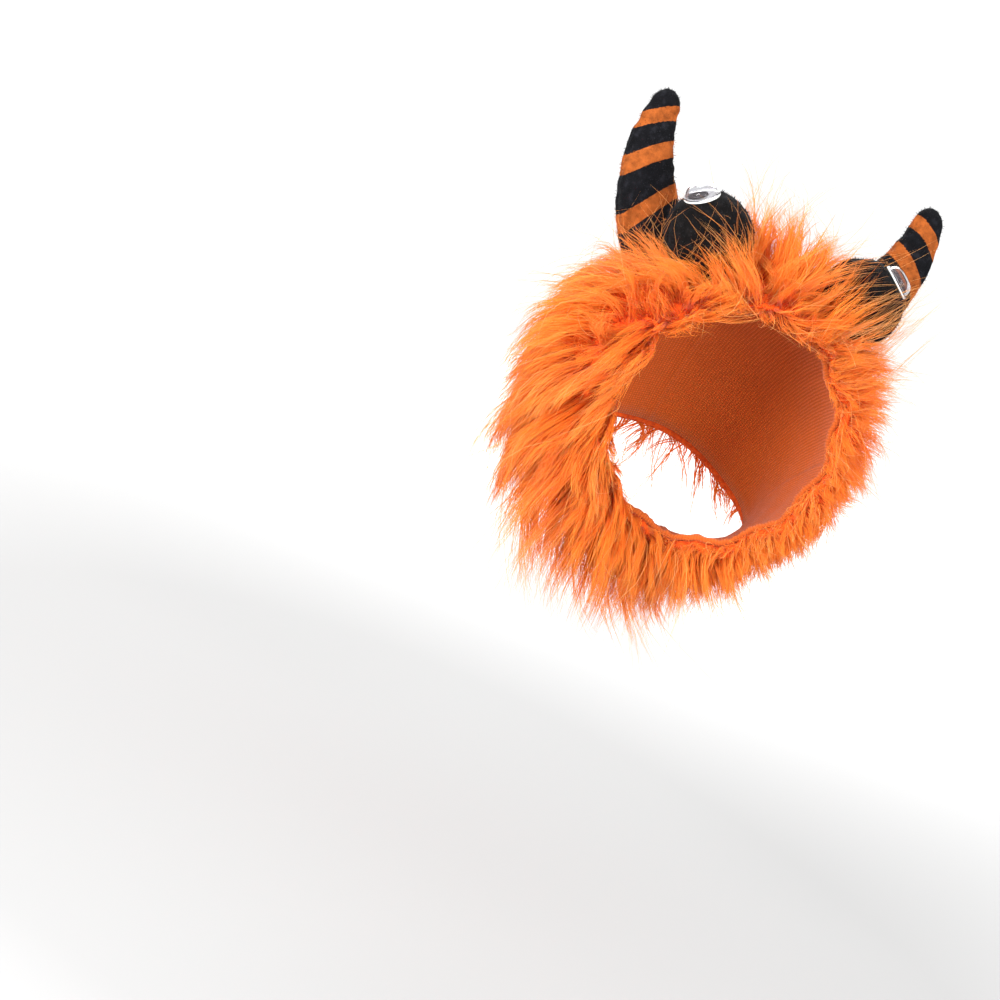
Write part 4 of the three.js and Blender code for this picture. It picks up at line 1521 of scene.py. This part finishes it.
def area_light(name, place, aim, size, power):
    data = bpy.data.lights.new(name, "AREA")
    data.shape = "DISK"
    data.size = size
    data.energy = power
    obj = bpy.data.objects.new(name, data)
    bpy.context.scene.collection.objects.link(obj)
    obj.location = place
    obj.rotation_euler = (aim - place).to_track_quat("-Z", "Y").to_euler()


class HOOD_OT_stage(bpy.types.Operator):
    """Adds the pale floor, the lights and the camera"""

    bl_idname = "hood.stage"
    bl_label = "Stage"

    def execute(self, context):
        stage = sizes("stage")
        scene = context.scene
        form = HoodForm(sizes("knit"))
        face = Vector(form.bent(0.0, 0.0) + form.bent(0.0, math.pi)) / 2
        scene.view_settings.view_transform = "Standard"

        world = bpy.data.worlds.new("studio")
        world.use_nodes = True
        background = world.node_tree.nodes["Background"]
        background.inputs["Color"].default_value = (1, 1, 1, 1)
        background.inputs["Strength"].default_value = 1.06
        scene.world = world

        drop = (0, 0, -stage.floor_drop)
        floor = primitive(bpy.ops.mesh.primitive_plane_add, "paper_floor", size=80, location=drop)
        # The floor's colour runs from grey under the hood to white further off: a painted shadow pool under
        # the hood.
        shadowed_floor = Material("shadowed_floor", {"Roughness": 0.9})
        on_floor = shadowed_floor.add("ShaderNodeTexCoord").outputs["Object"]
        away = shadowed_floor.add("ShaderNodeVectorMath", {0: on_floor}, operation="LENGTH").outputs["Value"]
        tones = [(0.15, stage.shadowed_floor), (0.85, (1.0, 1.0, 1.0))]
        shadowed_floor.paint(shadowed_floor.ramp(shadowed_floor.math("DIVIDE", away, 2.2), tones))
        floor.data.materials.append(shadowed_floor.made)

        right, up, back = worn_axes()
        per_pixel = stage.frame_width / PICTURE_WIDTH
        across, down = (place - PICTURE_WIDTH / 2 for place in FACE_IN_PICTURE)
        aim = face - right * across * per_pixel + up * down * per_pixel
        data = bpy.data.cameras.new("camera")
        data.lens = data.sensor_width * stage.distance / stage.frame_width
        camera = bpy.data.objects.new("camera", data)
        scene.collection.objects.link(camera)
        place = face + back * stage.distance
        view = (aim - place).normalized()
        true_right = view.cross(up).normalized()
        true_up = true_right.cross(view)
        turn = Matrix((true_right, true_up, -view)).transposed().to_4x4()
        camera.matrix_world = Matrix.Translation(place) @ turn
        scene.camera = camera

        stands = {"camera": place, "face": face}
        for row in LIGHTS:
            off = right * row["right"] + up * row["up"] + back * row["back"]
            area_light(row["name"], stands[row["stands"]] + off, face, row["size"], row["power"])
        return {"FINISHED"}


class HOOD_PT_panel(bpy.types.Panel):
    """The hood's operators, in the order that they run"""

    bl_idname = "HOOD_PT_panel"
    bl_label = "Costume hood"
    bl_space_type = "VIEW_3D"
    bl_region_type = "UI"
    bl_category = "Costume hood"

    def draw(self, context):
        for operator in OPERATORS:
            self.layout.operator(operator.bl_idname)


GROUPS = {
    "knit": HoodSizes,
    "fur": FurSizes,
    "horn": HornSizes,
    "eye": EyeSizes,
    "stage": StageSizes,
}
OPERATORS = (
    HOOD_OT_knit,
    HOOD_OT_underfur,
    HOOD_OT_fur,
    HOOD_OT_horns,
    HOOD_OT_mounds,
    HOOD_OT_eyes,
    HOOD_OT_stage,
)


def register():
    for group in GROUPS.values():
        bpy.utils.register_class(group)
    for operator in OPERATORS:
        bpy.utils.register_class(operator)
    bpy.utils.register_class(HOOD_PT_panel)
    for kind, group in GROUPS.items():
        setattr(bpy.types.Scene, "hood_" + kind, PointerProperty(type=group))


def unregister():
    for kind in GROUPS:
        delattr(bpy.types.Scene, "hood_" + kind)
    bpy.utils.unregister_class(HOOD_PT_panel)
    for operator in reversed(OPERATORS):
        bpy.utils.unregister_class(operator)
    for group in GROUPS.values():
        bpy.utils.unregister_class(group)


def main():
    register()
    bpy.ops.hood.knit()
    bpy.ops.hood.underfur()
    bpy.ops.hood.fur()
    bpy.ops.hood.horns()
    bpy.ops.hood.mounds()
    bpy.ops.hood.eyes()
    bpy.ops.hood.stage()


if __name__ == "__main__":
    main()
